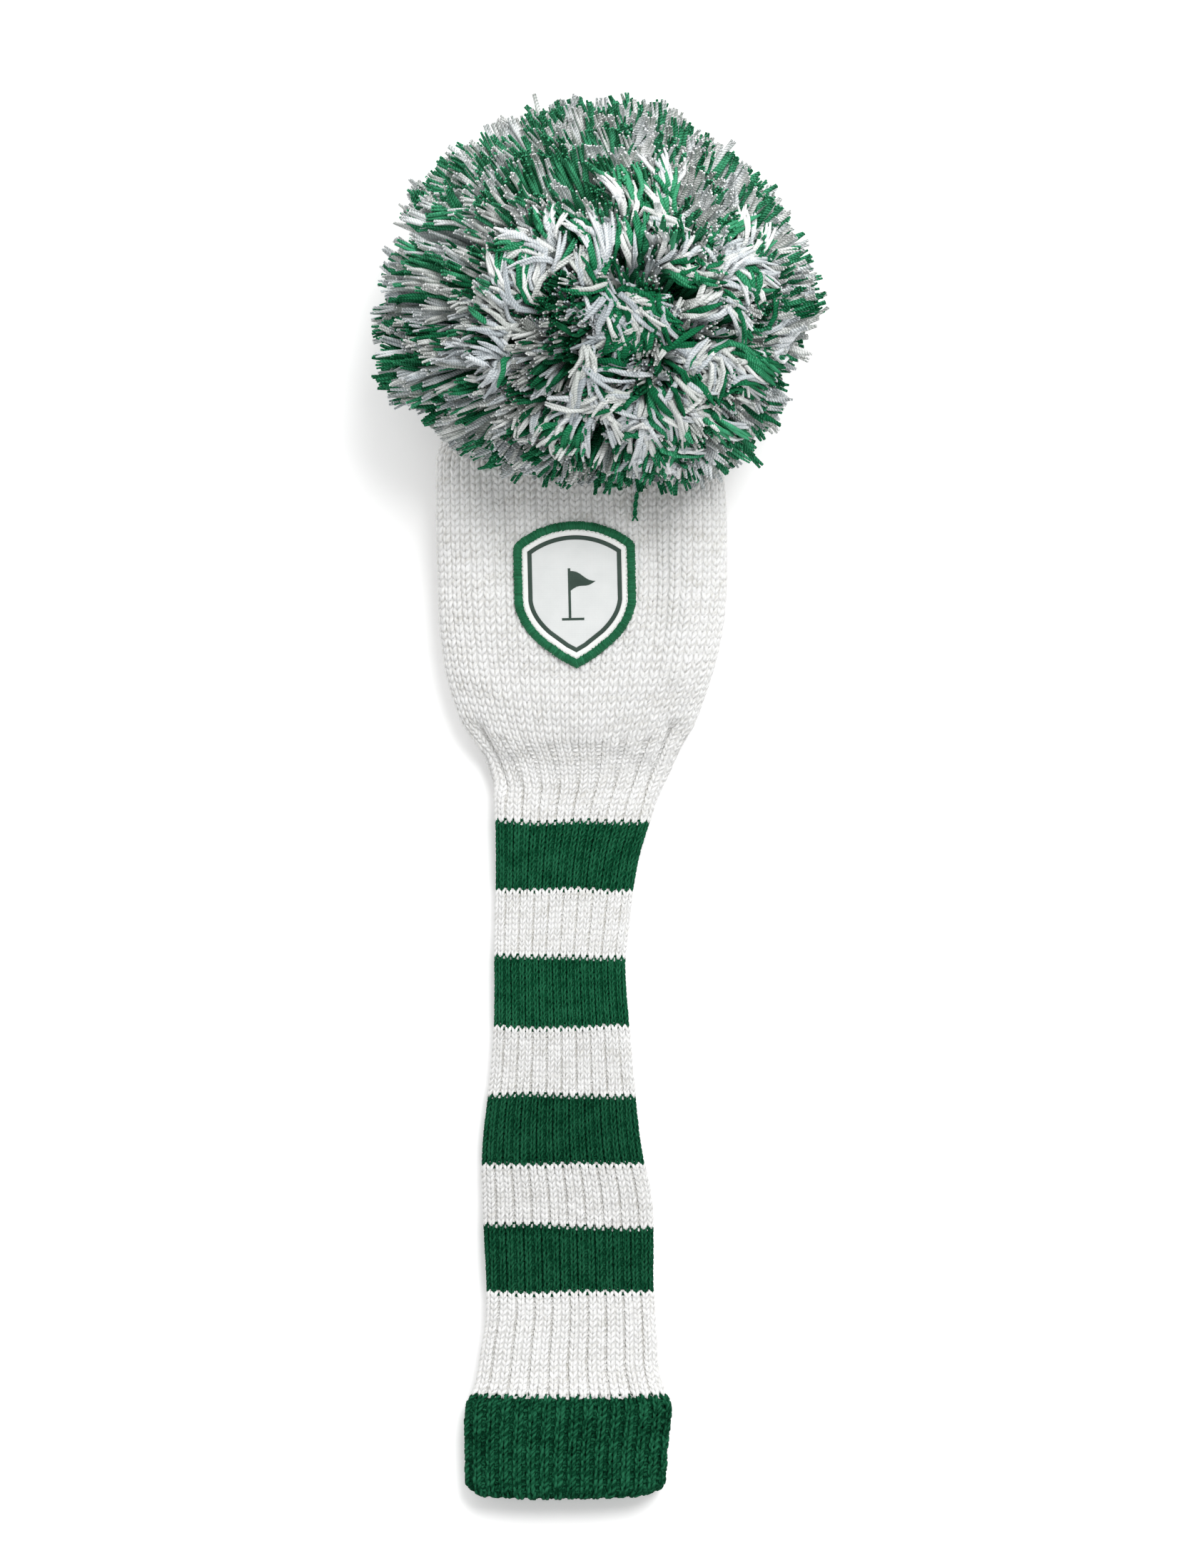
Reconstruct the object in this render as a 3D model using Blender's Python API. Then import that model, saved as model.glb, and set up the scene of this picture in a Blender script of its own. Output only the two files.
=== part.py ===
"""Knitted driver head cover with a pom-pom, lying flat on its back.

Frame: metres, +Z up out of the front face (the face with the badge), +Y up the
neck towards the pom-pom. The origin is the centre of the cover's bounding box, on
the plane it rests on. The dimensions below are in millimetres, from the centre of
the cuff's mouth on that plane; ORIGIN moves them to the part's own origin.

Every knitted tube is flattened and hollow. The neck bends about X at arcs struck
from a hinge line, twists about Y at a plane joint, sways about Z where the rib
slips inside the head's mouth like a sleeve, and stretches along Y at the cuff.
The pom-pom tilts about the tie knot at the crown.
"""

import math
from bisect import bisect_right
from typing import NamedTuple

import bmesh
import bpy
from mathutils import Matrix, Vector

MM = 0.001

# ---------------------------------------------------------------- shared dimensions (mm)
# Places along the cover, from the cuff's mouth (Y = 0).
CUFF_TOP = 35.2
WHITE4_TOP, GREEN4_TOP = 70.1, 92.1
WHITE3_TOP, GREEN3_TOP = 113.3, 136.4
WHITE2_TOP, GREEN2_TOP = 159.3, 182.9
WHITE1_TOP, GREEN1_TOP = 206.1, 229.2
RIB_TOP = 260.3
DOME_START = 350.0
CROWN_Y = 392.0
CROWN_HOLE_Y = CROWN_Y - 2.0

CUFF_HEIGHT = 19.0
NECK_HEIGHT = 15.0
NECK_MID_Z = NECK_HEIGHT / 2       # the bending lines lie at this height

# Outline of the flat-lying cover: (Y, left edge X, right edge X).
OUTLINE = (
    (0.0, -30.5, 27.2), (2.0, -32.6, 29.2), (5.3, -34.5, 30.8), (15.0, -35.2, 32.2),
    (25.0, -35.4, 33.4), (33.7, -34.8, 33.0), (36.0, -33.3, 31.6), (43.9, -31.4, 29.2),
    (60.7, -28.2, 28.0), (75.2, -28.2, 27.5), (92.1, -28.7, 26.8), (113.3, -29.4, 24.6),
    (135.4, -27.5, 21.4), (159.3, -25.5, 19.5), (182.4, -25.1, 18.3), (206.5, -24.6, 21.0),
    (229.2, -24.8, 26.0), (241.5, -26.0, 30.4), (251.1, -29.4, 34.7), (260.8, -35.7, 40.2),
    (270.4, -39.3, 44.3), (280.0, -41.9, 47.7), (294.5, -43.1, 51.1), (321.0, -44.6, 52.5),
    (350.0, -45.0, 52.0),
)
# How thick the cover lies: (Y, height of the top face).
HEIGHT = (
    (0.0, CUFF_HEIGHT), (33.0, CUFF_HEIGHT), (40.0, 16.5), (60.0, NECK_HEIGHT),
    (229.2, NECK_HEIGHT), (245.0, 16.5), (260.3, 22.5), (280.0, 30.0), (310.0, 37.0),
    (350.0, 40.0),
)
WALL = 2.4             # knitted wall
GAP = 0.4              # clearance between neighbouring solids

TIE = Vector((5.0, CROWN_Y, 34.0))          # tie knot at the crown
CROWN_HOLE_R = 4.5
POM_CENTRE = Vector((9.8, 406.6, 57.0))
POM_RADII = Vector((73.5, 66.5, 60.0))

ORIGIN = Vector((POM_CENTRE.x, (POM_CENTRE.y + POM_RADII.y) / 2, 0.0))

SHARP_ANGLE = math.radians(40.0)            # edges steeper than this are shaded sharp

COLOURS = {
    "knit_white": (0.86, 0.86, 0.83, 1), "knit_green": (0.010, 0.085, 0.035, 1),
    "pom_mixed": (0.22, 0.33, 0.28, 1), "cord_green": (0.012, 0.10, 0.045, 1),
    "thread_white": (0.80, 0.80, 0.78, 1), "fleece": (0.72, 0.72, 0.69, 1),
    "patch_white": (0.68, 0.70, 0.69, 1), "patch_dark": (0.035, 0.06, 0.045, 1),
    "patch_green": (0.012, 0.13, 0.05, 1), "label_white": (0.82, 0.82, 0.82, 1),
}
BADGE_ROUGHNESS, YARN_ROUGHNESS = 0.45, 0.9


# ---------------------------------------------------------------- cross-sections of the cover
class Section(NamedTuple):
    """Extent of a cross-section in X and Z."""
    mid_x: float
    half_width: float
    bottom: float
    top: float

    @property
    def mid_z(self):
        return (self.bottom + self.top) / 2

    @property
    def half_height(self):
        return (self.top - self.bottom) / 2

    def inset(self, depth):
        return Section(self.mid_x, self.half_width - depth, self.bottom + depth, self.top - depth)


def interpolate(table, y, column=1):
    """Value of a table at y: cubic between rows, with slopes limited against overshoot."""
    ys = [row[0] for row in table]
    values = [row[column] for row in table]
    if y <= ys[0]:
        return values[0]
    if y >= ys[-1]:
        return values[-1]

    def secant(k):
        return (values[k + 1] - values[k]) / (ys[k + 1] - ys[k])

    def slope(k):
        if k == 0 or k == len(ys) - 1:
            return 0.0
        before, after = secant(k - 1), secant(k)
        return 0.0 if before * after <= 0 else 2 * before * after / (before + after)

    i = bisect_right(ys, y) - 1
    step = ys[i + 1] - ys[i]
    t = (y - ys[i]) / step
    return ((2 * t**3 - 3 * t**2 + 1) * values[i]
            + (t**3 - 2 * t**2 + t) * slope(i) * step
            + (-2 * t**3 + 3 * t**2) * values[i + 1]
            + (t**3 - t**2) * slope(i + 1) * step)


def ease(u):
    """Smooth step from 0 to 1."""
    return u * u * (3 - 2 * u)


def section(y):
    """Section of the cover's outside at y, dome included."""
    if y <= DOME_START:
        left, right = interpolate(OUTLINE, y, 1), interpolate(OUTLINE, y, 2)
        return Section((left + right) / 2, (right - left) / 2, 0.0, interpolate(HEIGHT, y))
    base = section(DOME_START)
    u = min(1.0, (y - DOME_START) / (CROWN_HOLE_Y - DOME_START))
    grow = 1 - u**1.8                  # 1 where the dome starts, 0 at the crown hole
    tip = CROWN_HOLE_R + WALL
    half_width = tip + (base.half_width - tip) * grow
    half_height = tip + (base.half_height - tip) * grow
    mid_x = base.mid_x + (TIE.x - base.mid_x) * ease(u)
    mid_z = base.mid_z + (TIE.z - base.mid_z) * ease(u)
    return Section(mid_x, half_width, mid_z - half_height, mid_z + half_height)


def angles(count):
    """Equal steps round a full circle."""
    return [2 * math.pi * k / count for k in range(count)]


def stadium(sec, side_steps=8):
    """Closed loop of (x, z): flat top and bottom, half-round sides."""
    radius = sec.half_height
    reach = sec.half_width - radius
    points = []
    for side, start, middle_z in ((1, -math.pi / 2, sec.top), (-1, math.pi / 2, sec.bottom)):
        for k in range(side_steps + 1):
            t = start + math.pi * k / side_steps
            points.append((sec.mid_x + side * reach + radius * math.cos(t),
                           sec.mid_z + radius * math.sin(t)))
        points.append((sec.mid_x, middle_z))
    return points


def pillow(sec, exponent, count=36):
    """Closed loop of (x, z): a superellipse whose underside is pressed flat."""
    sink = 0.06 * sec.half_height      # how far the lower half would reach below the bottom
    points = []
    for t in angles(count):
        c, s = math.cos(t), math.sin(t)
        rise = sec.half_height + (0.0 if s >= 0 else sink)
        x = math.copysign(abs(c) ** (2 / exponent), c) * sec.half_width
        z = math.copysign(abs(s) ** (2 / exponent), s) * rise
        points.append((sec.mid_x + x, max(sec.bottom, sec.mid_z + z)))
    return points


def pillow_exponent(y):
    """Exponent of the head's section: boxier near the rib, rounder at the crown."""
    u = min(1.0, max(0.0, (y - RIB_TOP) / (CROWN_Y - RIB_TOP)))
    return 2.9 - 0.9 * u


def top_z(x, y):
    """Height of the head's front face at (x, y)."""
    sec = section(y)
    exponent = pillow_exponent(y)
    u = min(0.999, abs(x - sec.mid_x) / sec.half_width)
    return sec.mid_z + sec.half_height * (1 - u**exponent) ** (1 / exponent)


# ---------------------------------------------------------------- objects and meshes
def material(name):
    if name in bpy.data.materials:
        return bpy.data.materials[name]
    mat = bpy.data.materials.new(name)
    mat.use_nodes = True
    shader = mat.node_tree.nodes["Principled BSDF"]
    shader.inputs["Base Color"].default_value = COLOURS[name]
    is_badge = name.startswith("patch_")
    shader.inputs["Roughness"].default_value = BADGE_ROUGHNESS if is_badge else YARN_ROUGHNESS
    shader.inputs["Metallic"].default_value = 0.0
    mat.diffuse_color = COLOURS[name]
    return mat


def empty(name, place):
    obj = bpy.data.objects.new(name, None)
    obj.location = (Vector(place) - ORIGIN) * MM
    bpy.context.scene.collection.objects.link(obj)
    bpy.context.view_layer.update()    # children need its world matrix
    return obj


def add_object(bm, name, colour, parent=None, triangulate=False):
    """Turn a bmesh in millimetres into an object in metres, kept in place under its parent."""
    if triangulate:
        bmesh.ops.triangulate(bm, faces=bm.faces)
    bmesh.ops.recalc_face_normals(bm, faces=bm.faces)
    for vert in bm.verts:
        vert.co = (vert.co - ORIGIN) * MM
    mesh = bpy.data.meshes.new(name)
    bm.to_mesh(mesh)
    bm.free()
    mesh.shade_smooth()
    mesh.set_sharp_from_angle(angle=SHARP_ANGLE)
    mesh.materials.append(material(colour))
    obj = bpy.data.objects.new(name, mesh)
    bpy.context.scene.collection.objects.link(obj)
    if parent is not None:
        obj.parent = parent
        obj.matrix_parent_inverse = parent.matrix_world.inverted()
    return obj


def add_loop(bm, points):
    return [bm.verts.new(p) for p in points]


def bridge(bm, low, high):
    """Quads between two vertex loops of equal count."""
    for i in range(len(low)):
        j = (i + 1) % len(low)
        bm.faces.new((low[i], low[j], high[j], high[i]))


def closed_ring(loops):
    """A bmesh of point loops joined in turn, the last to the first."""
    bm = bmesh.new()
    rows = [add_loop(bm, loop) for loop in loops]
    for low, high in zip(rows, rows[1:] + rows[:1]):
        bridge(bm, low, high)
    return bm


def tube(name, colour, outer, inner, parent):
    """A hollow tube from two stacks of equal loops, both from the mouth end up."""
    bm = closed_ring(outer + inner[::-1])
    bm.normal_update()
    return add_object(bm, name, colour, parent, triangulate=True)


def double_cap(name, colour, stacks, parent):
    """A solid between two skins (loops, tip), each closed at its tip, joined at their first loops."""
    bm = bmesh.new()
    rims = []
    for loops, tip in stacks:
        rows = [add_loop(bm, loop) for loop in loops]
        apex = bm.verts.new(tip)
        for low, high in zip(rows, rows[1:]):
            bridge(bm, low, high)
        last = rows[-1]
        for i in range(len(last)):
            bm.faces.new((last[i], last[(i + 1) % len(last)], apex))
        rims.append(rows[0])
    bridge(bm, *rims)
    return add_object(bm, name, colour, parent, triangulate=True)


def cord_ring(name, colour, path, radius, parent, axis=Vector((0, 1, 0)), sides=8):
    """A round cord along a closed path that lies in a plane across axis."""
    loops = []
    for i, p in enumerate(path):
        tangent = (path[(i + 1) % len(path)] - path[i - 1]).normalized()
        across = tangent.cross(axis)
        loops.append([p + radius * (math.cos(a) * across + math.sin(a) * axis)
                      for a in angles(sides)])
    return add_object(closed_ring(loops), name, colour, parent)


def ball(name, colour, centre, radius, parent):
    bm = bmesh.new()
    bmesh.ops.create_uvsphere(bm, u_segments=16, v_segments=10, radius=radius)
    bmesh.ops.translate(bm, vec=centre, verts=bm.verts)
    return add_object(bm, name, colour, parent)


def rod(name, colour, start, end, radius, sides, parent=None):
    bm = bmesh.new()
    bmesh.ops.create_cone(bm, cap_ends=True, segments=sides, radius1=radius, radius2=radius,
                          depth=(end - start).length)
    turn = (end - start).to_track_quat("Z", "Y").to_matrix().to_4x4()
    bmesh.ops.transform(bm, matrix=Matrix.Translation((start + end) / 2) @ turn, verts=bm.verts)
    return add_object(bm, name, colour, parent)


# ---------------------------------------------------------------- neck
HINGE_R = 10.0         # arc the bending joints turn on, about the hinge line
BEND_OFFSET = 6.0      # each bending line lies this far below its seam
RIB_SLEEVE = 5.5       # how far the rib reaches inside the head's mouth
SLEEVE_SIDE_CLEAR = 1.6
SLEEVE_FLOOR_CLEAR = 2.3
SLEEVE_ROOF_CLEAR = 2.2


def flat_cut(y):
    """A tube's loop in the plane at y."""
    return lambda z: y


def arc_cut(seam_y, clearance):
    """A tube's end on an arc about the hinge line below a seam."""
    radius = HINGE_R + clearance
    return lambda z: (seam_y - BEND_OFFSET
                      + math.sqrt(max(0.0, radius**2 - (z - NECK_MID_Z) ** 2)))


def convex(seam_y):
    """Top end of the band below a bending joint."""
    return arc_cut(seam_y, -GAP / 2)


def concave(seam_y):
    """Bottom end of the band above a bending joint."""
    return arc_cut(seam_y, GAP / 2)


def stadium_loops(sections, cuts, depth):
    return [[(x, cut(z), z) for x, z in stadium(sec.inset(depth))]
            for sec, cut in zip(sections, cuts)]


def knit_tube(name, colour, sections, cuts, parent, depth=0.0, wall=WALL):
    """A flattened tube whose outside lies depth inside the sections."""
    return tube(name, colour, stadium_loops(sections, cuts, depth),
                stadium_loops(sections, cuts, depth + wall), parent)


def band(name, colour, bottom, top, parent, low=None, high=None, middle=()):
    """One neck band; its ends are plane unless cuts are given."""
    cuts = [low or flat_cut(bottom + GAP / 2), *map(flat_cut, middle),
            high or flat_cut(top - GAP / 2)]
    sections = [section(y) for y in (bottom, *middle, top)]
    knit_tube(name, colour, sections, cuts, parent)


def build_neck():
    """Four neck parts, each a white band with a green stripe above it."""
    neck4 = empty("neck_4_root", (0, GREEN4_TOP - BEND_OFFSET, NECK_MID_Z))
    band("neck_band_white_4", "knit_white", CUFF_TOP, WHITE4_TOP, neck4, middle=(43.9, 56.0))
    band("neck_stripe_green_4", "knit_green", WHITE4_TOP, GREEN4_TOP, neck4,
         high=convex(GREEN4_TOP))

    neck3 = empty("neck_3_root", (section(GREEN3_TOP).mid_x, GREEN3_TOP, NECK_MID_Z))
    band("neck_band_white_3", "knit_white", GREEN4_TOP, WHITE3_TOP, neck3,
         low=concave(GREEN4_TOP))
    band("neck_stripe_green_3", "knit_green", WHITE3_TOP, GREEN3_TOP, neck3, middle=(125.0,))

    neck2 = empty("neck_2_root", (0, GREEN2_TOP - BEND_OFFSET, NECK_MID_Z))
    band("neck_band_white_2", "knit_white", GREEN3_TOP, WHITE2_TOP, neck2)
    band("neck_stripe_green_2", "knit_green", WHITE2_TOP, GREEN2_TOP, neck2,
         high=convex(GREEN2_TOP))

    neck1 = empty("neck_1_root", (0, GREEN1_TOP - BEND_OFFSET, NECK_MID_Z))
    band("neck_band_white_1", "knit_white", GREEN2_TOP, WHITE1_TOP, neck1,
         low=concave(GREEN2_TOP))
    band("neck_stripe_green_1", "knit_green", WHITE1_TOP, GREEN1_TOP, neck1,
         high=convex(GREEN1_TOP))


def rib_section(y):
    """Section of the rib, which grows from the neck's height to fit inside the head's mouth."""
    mouth = section(RIB_TOP)
    sleeve_half = mouth.half_width - WALL - SLEEVE_SIDE_CLEAR
    sleeve_top = mouth.top - WALL - SLEEVE_ROOF_CLEAR
    grow = ease(min(1.0, (y - GREEN1_TOP) / (RIB_TOP - GREEN1_TOP)))
    outside = section(y)
    return Section(section(min(y, RIB_TOP)).mid_x, min(outside.half_width, sleeve_half),
                   (WALL + SLEEVE_FLOOR_CLEAR) * grow,
                   NECK_HEIGHT + (sleeve_top - NECK_HEIGHT) * grow)


def build_rib():
    """The tapered rib, whose top slips inside the head's mouth so that the neck can sway."""
    root = empty("rib_root", (section(RIB_TOP).mid_x, RIB_TOP, NECK_MID_Z))
    upper = (241.5, 249.0, 256.0, RIB_TOP, RIB_TOP + RIB_SLEEVE)
    knit_tube("neck_rib_white", "knit_white", [rib_section(y) for y in (GREEN1_TOP, *upper)],
              [concave(GREEN1_TOP), *map(flat_cut, upper)], root)


# ---------------------------------------------------------------- cuff
CUFF_STATIONS = (0.0, 2.0, 5.3, 15.0, 25.0, CUFF_TOP - GAP)
HEM_STATIONS = (0.3, 2.3, 5.5, 15.0, 24.0, 29.0)
HEM_WALL = 2.0
HEM_STITCH_Y = 30.6
HEM_STITCH_SECTION_Y = 31.0        # the stitching takes its width from here
HEM_STITCH_DEPTH = WALL + 1.2
HEM_STITCH_R = 0.7
LABEL_SIZE = (11.0, 17.0, 0.7)
LABEL_CENTRE = (-24.1, 14.5, CUFF_HEIGHT / 2)


def cuff_section(y):
    return section(y)._replace(bottom=0.0, top=CUFF_HEIGHT)


def cuff_tube(name, stations, parent, **depths):
    knit_tube(name, "knit_green", [cuff_section(y) for y in stations],
              [flat_cut(y) for y in stations], parent, **depths)


def build_cuff():
    root = empty("cuff_root", (0, CUFF_TOP, NECK_MID_Z))
    cuff_tube("cuff_outer", CUFF_STATIONS, root)
    cuff_tube("cuff_turned_hem", HEM_STATIONS, root, depth=WALL + GAP, wall=HEM_WALL)

    loop = stadium(cuff_section(HEM_STITCH_SECTION_Y).inset(HEM_STITCH_DEPTH))
    cord_ring("cuff_hem_stitching", "cord_green", [Vector((x, HEM_STITCH_Y, z)) for x, z in loop],
              HEM_STITCH_R, root, sides=6)

    # Care label, lying flat inside the tube near its -X side.
    bm = bmesh.new()
    bmesh.ops.create_cube(bm, size=1.0)
    bmesh.ops.scale(bm, vec=LABEL_SIZE, verts=bm.verts)
    bmesh.ops.translate(bm, vec=LABEL_CENTRE, verts=bm.verts)
    add_object(bm, "care_label", "label_white", root)


# ---------------------------------------------------------------- head
HEAD_STATIONS = (RIB_TOP, 265.0, 270.4, 280.0, 294.5, 310.0, 330.0, DOME_START, 360.0, 369.0,
                 377.0, 384.0, CROWN_HOLE_Y)
LINING_STATIONS = (276.0, 284.0, 294.5, 310.0, 330.0, DOME_START, 360.0, 368.0)
LINING_OUTER_LAST, LINING_OUTER_TIP = 373.0, 377.0       # last station and tip, along Y
LINING_INNER_LAST, LINING_INNER_TIP = 371.0, 374.5
LINING_TIP_SECTION_Y = 376.0                             # the tips are centred on this section
LINING_DEPTH = WALL + 0.6
LINING_WALL = 2.0
SEAM_Y = 273.6
SEAM_DEPTH = WALL + 1.4
SEAM_EXPONENT = 2.8
SEAM_R = 0.8
GATHER_RING_R, GATHER_CORD_R = 5.7, 0.9
GATHER_OFFSET_Y = -0.8                                   # from the tie
INNER_KNOT_R = 4.0
INNER_KNOT_OFFSET_Y = -7.7


def head_loops(stations, depth):
    return [[(x, y, z) for x, z in pillow(section(y).inset(depth), pillow_exponent(y))]
            for y in stations]


def build_head(root):
    tube("head_shell", "knit_white", head_loops(HEAD_STATIONS, 0.0),
         head_loops(HEAD_STATIONS, WALL), root)

    tip = section(LINING_TIP_SECTION_Y)
    skins = ((LINING_OUTER_LAST, LINING_OUTER_TIP, LINING_DEPTH),
             (LINING_INNER_LAST, LINING_INNER_TIP, LINING_DEPTH + LINING_WALL))
    double_cap("head_lining", "fleece",
               [(head_loops((*LINING_STATIONS, last), depth), (tip.mid_x, tip_y, tip.mid_z))
                for last, tip_y, depth in skins], root)

    # The row of stitches that holds the lining's edge to the shell, just below that edge.
    loop = pillow(section(SEAM_Y).inset(SEAM_DEPTH), SEAM_EXPONENT, 32)
    cord_ring("lining_seam_stitching", "thread_white", [Vector((x, SEAM_Y, z)) for x, z in loop],
              SEAM_R, root, sides=6)

    # Crown: the gathering yarn round the hole, and the knot inside that holds the pom-pom.
    gather = [TIE + Vector((GATHER_RING_R * math.cos(t), GATHER_OFFSET_Y,
                            GATHER_RING_R * math.sin(t))) for t in angles(20)]
    cord_ring("crown_gather_yarn", "thread_white", gather, GATHER_CORD_R, root)
    ball("crown_inner_knot", "cord_green", TIE + Vector((0, INNER_KNOT_OFFSET_Y, 0)),
         INNER_KNOT_R, root)


# ---------------------------------------------------------------- badge
# Its own frame: origin at its centre, x and y along the front face.
BADGE_CENTRE = (1.7, 306.0)
BADGE_TILT = math.radians(1.3)
BADGE_HALF_W = 21.0
BADGE_HALF_H = 25.1
TOP_ARC_RISE = 6.7
TOP_ARC_HALF = BADGE_HALF_W - 1.3
MITRE_LIMIT = 0.35                 # keeps inset corners from shooting out

# Insets from the badge's outline.
BACKING_INSET = 0.5
BORDER_W = 2.7
TACK_INSETS = (BORDER_W + 0.25, BORDER_W + 0.65)
FACE_INSET = BORDER_W + 0.9
PINSTRIPE_INSET = BORDER_W + 1.8
PINSTRIPE_W = 1.45

# Layers above the front face: (bottom, top).
BACKING_LAYER = (0.4, 1.1)
FACE_BOTTOM = BACKING_LAYER[1] + 0.3
FACE_LAYER = (FACE_BOTTOM, FACE_BOTTOM + 0.7)
TACK_LAYER = (FACE_BOTTOM, FACE_BOTTOM + 0.8)
BORDER_LAYER = (FACE_BOTTOM, FACE_BOTTOM + 1.4)
MARK_LAYER = (FACE_LAYER[1] + 0.3, FACE_LAYER[1] + 0.7)

# A plain golf flag on its pole, with a foot: (x, y).
FLAG = (
    (-2.4, -8.6), (2.9, -8.6), (2.9, -7.6), (-1.5, -7.6), (-1.5, 1.2), (6.2, 4.3),
    (-1.5, 7.8), (-1.5, 8.8), (-2.4, 8.8), (-2.4, -7.6), (-4.6, -7.6), (-4.6, -8.6),
)
FLAG_SLOPE_REACH_X, FLAG_SLOPE_REACH_Y = 4, 8            # the face's tilt is taken over these
FLAG_GRID_PITCH = 0.5
FLAG_GRID_COLUMNS, FLAG_GRID_ROWS = range(-10, 14), range(-18, 19)


def shield(inset):
    """Outline of the badge, counterclockwise, with every edge moved in by inset."""
    left_x = -BADGE_HALF_W
    # top: an arc from the right corner to the left corner
    radius = (TOP_ARC_HALF**2 + TOP_ARC_RISE**2) / (2 * TOP_ARC_RISE)
    reach = math.asin(TOP_ARC_HALF / radius)
    top = []
    for k in range(9):
        t = -reach + 2 * reach * k / 8
        top.append(Vector((-radius * math.sin(t), BADGE_HALF_H - radius + radius * math.cos(t))))

    # left side: down the straight edge, round a quadratic curve, then in towards the tip
    start = Vector((left_x, -2.0))
    control = Vector((left_x + 0.6, -9.6))
    end = Vector((left_x + 8.0, -16.4))
    left = [Vector((left_x + 0.35, BADGE_HALF_H - 8.7)), Vector((left_x, 6.0)), start]
    for k in range(1, 6):
        t = k / 6
        left.append((1 - t) ** 2 * start + 2 * t * (1 - t) * control + t * t * end)
    left += [end, Vector((left_x + 14.5, -21.3))]
    right = [Vector((-p.x, p.y)) for p in reversed(left)]
    outline = top + left + [Vector((0.0, -BADGE_HALF_H))] + right

    moved = []
    for i, p in enumerate(outline):
        before = (p - outline[i - 1]).normalized()
        after = (outline[(i + 1) % len(outline)] - p).normalized()
        inward = Vector((-before.y, before.x))
        mitre = (inward + Vector((-after.y, after.x))).normalized()
        moved.append(p + mitre * inset / max(MITRE_LIMIT, mitre.dot(inward)))
    return moved


def on_cover(x, y):
    """Badge point to cover (x, y)."""
    c, s = math.cos(BADGE_TILT), math.sin(BADGE_TILT)
    return BADGE_CENTRE[0] + x * c - y * s, BADGE_CENTRE[1] + x * s + y * c


def above_face(badge_x, badge_y, level):
    """Point at a height above the head's front face."""
    x, y = on_cover(badge_x, badge_y)
    return x, y, top_z(x, y) + level


def plate(name, colour, outline, layer, parent, steps=3):
    """A thin plate that follows the front face."""
    scales = [1 - k / steps for k in range(steps)]
    stacks = [([[above_face(p.x * s, p.y * s, level) for p in outline] for s in scales],
               above_face(0.0, 0.0, level)) for level in layer]
    double_cap(name, colour, stacks, parent)


def frame_strip(name, colour, insets, layer, parent):
    """A closed strip between two insets of the badge's outline, following the front face."""
    outside, inside = map(shield, insets)
    low, high = layer
    corners = ((outside, low), (outside, high), (inside, high), (inside, low))
    bm = closed_ring([[above_face(p.x, p.y, level) for p in outline]
                      for outline, level in corners])
    add_object(bm, name, colour, parent, triangulate=True)


def build_flag(parent):
    """The flag: flat, tilted as the front face is, and just clear of it."""
    def face_slope(dx, dy):
        xa, ya, za = above_face(-dx, -dy, 0.0)
        xb, yb, zb = above_face(dx, dy, 0.0)
        return (zb - za) / ((xb - xa) if dx else (yb - ya))

    slope_x = face_slope(FLAG_SLOPE_REACH_X, 0)
    slope_y = face_slope(0, FLAG_SLOPE_REACH_Y)

    def plane(x, y):
        return slope_x * (x - BADGE_CENTRE[0]) + slope_y * (y - BADGE_CENTRE[1])

    grid = [on_cover(FLAG_GRID_PITCH * i, FLAG_GRID_PITCH * j)
            for i in FLAG_GRID_COLUMNS for j in FLAG_GRID_ROWS]
    lift = max(top_z(x, y) - plane(x, y) for x, y in grid)
    places = [on_cover(x, y) for x, y in FLAG]
    bm = bmesh.new()
    loops = [add_loop(bm, [(x, y, plane(x, y) + lift + level) for x, y in places])
             for level in MARK_LAYER]
    bridge(bm, *loops)
    for loop in loops:                 # a concave face needs its normal to be split rightly
        bm.faces.new(loop).normal_update()
    add_object(bm, "patch_flag_motif", "patch_dark", parent, triangulate=True)


def build_badge(root):
    plate("patch_backing", "patch_white", shield(BACKING_INSET), BACKING_LAYER, root)
    frame_strip("patch_border", "patch_green", (0.0, BORDER_W), BORDER_LAYER, root)
    plate("patch_face", "patch_white", shield(FACE_INSET), FACE_LAYER, root)
    frame_strip("patch_tack_stitching", "patch_green", TACK_INSETS, TACK_LAYER, root)
    frame_strip("patch_pinstripe", "patch_dark",
                (PINSTRIPE_INSET, PINSTRIPE_INSET + PINSTRIPE_W), MARK_LAYER, root)
    build_flag(root)


# ---------------------------------------------------------------- pom-pom
TIE_KNOT_R = 3.2
BINDING_R = 9.2
BINDING_CORD_R = 1.3
ANCHOR_CORD_R = 1.5
ANCHOR_CLEAR = 0.5                 # between the anchor cord's ends and their neighbours
TUNNEL_R = 3.0
TUNNEL_START = 1.0                 # from the tie
TUNNEL_OVERLAP = 1.0               # past the binding ring's centre line
GROOVE_INNER_R = 7.0
GROOVE_OUTER_R = BINDING_R + 2.6
GROOVE_HALF_W = 2.2
RECESS_APEX = 8.0                  # beyond the tie, along +Y
RECESS_DEPTH = 90.0
# Half angles of the recess: sideways, up and down.
RECESS_HALF_X, RECESS_UP, RECESS_DOWN = (math.radians(a) for a in (67.0, 45.0, 58.0))

POM_REACH = (POM_CENTRE - TIE).length
POM_DIRECTION = (POM_CENTRE - TIE).normalized()
WINDING_AXIS = POM_DIRECTION.cross(Vector((0, 0, 1))).normalized()
POM_ACROSS = WINDING_AXIS.cross(POM_DIRECTION).normalized()


def around_pom(t):
    """Unit vector across the winding axis, at angle t."""
    return math.cos(t) * POM_DIRECTION + math.sin(t) * POM_ACROSS


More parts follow.
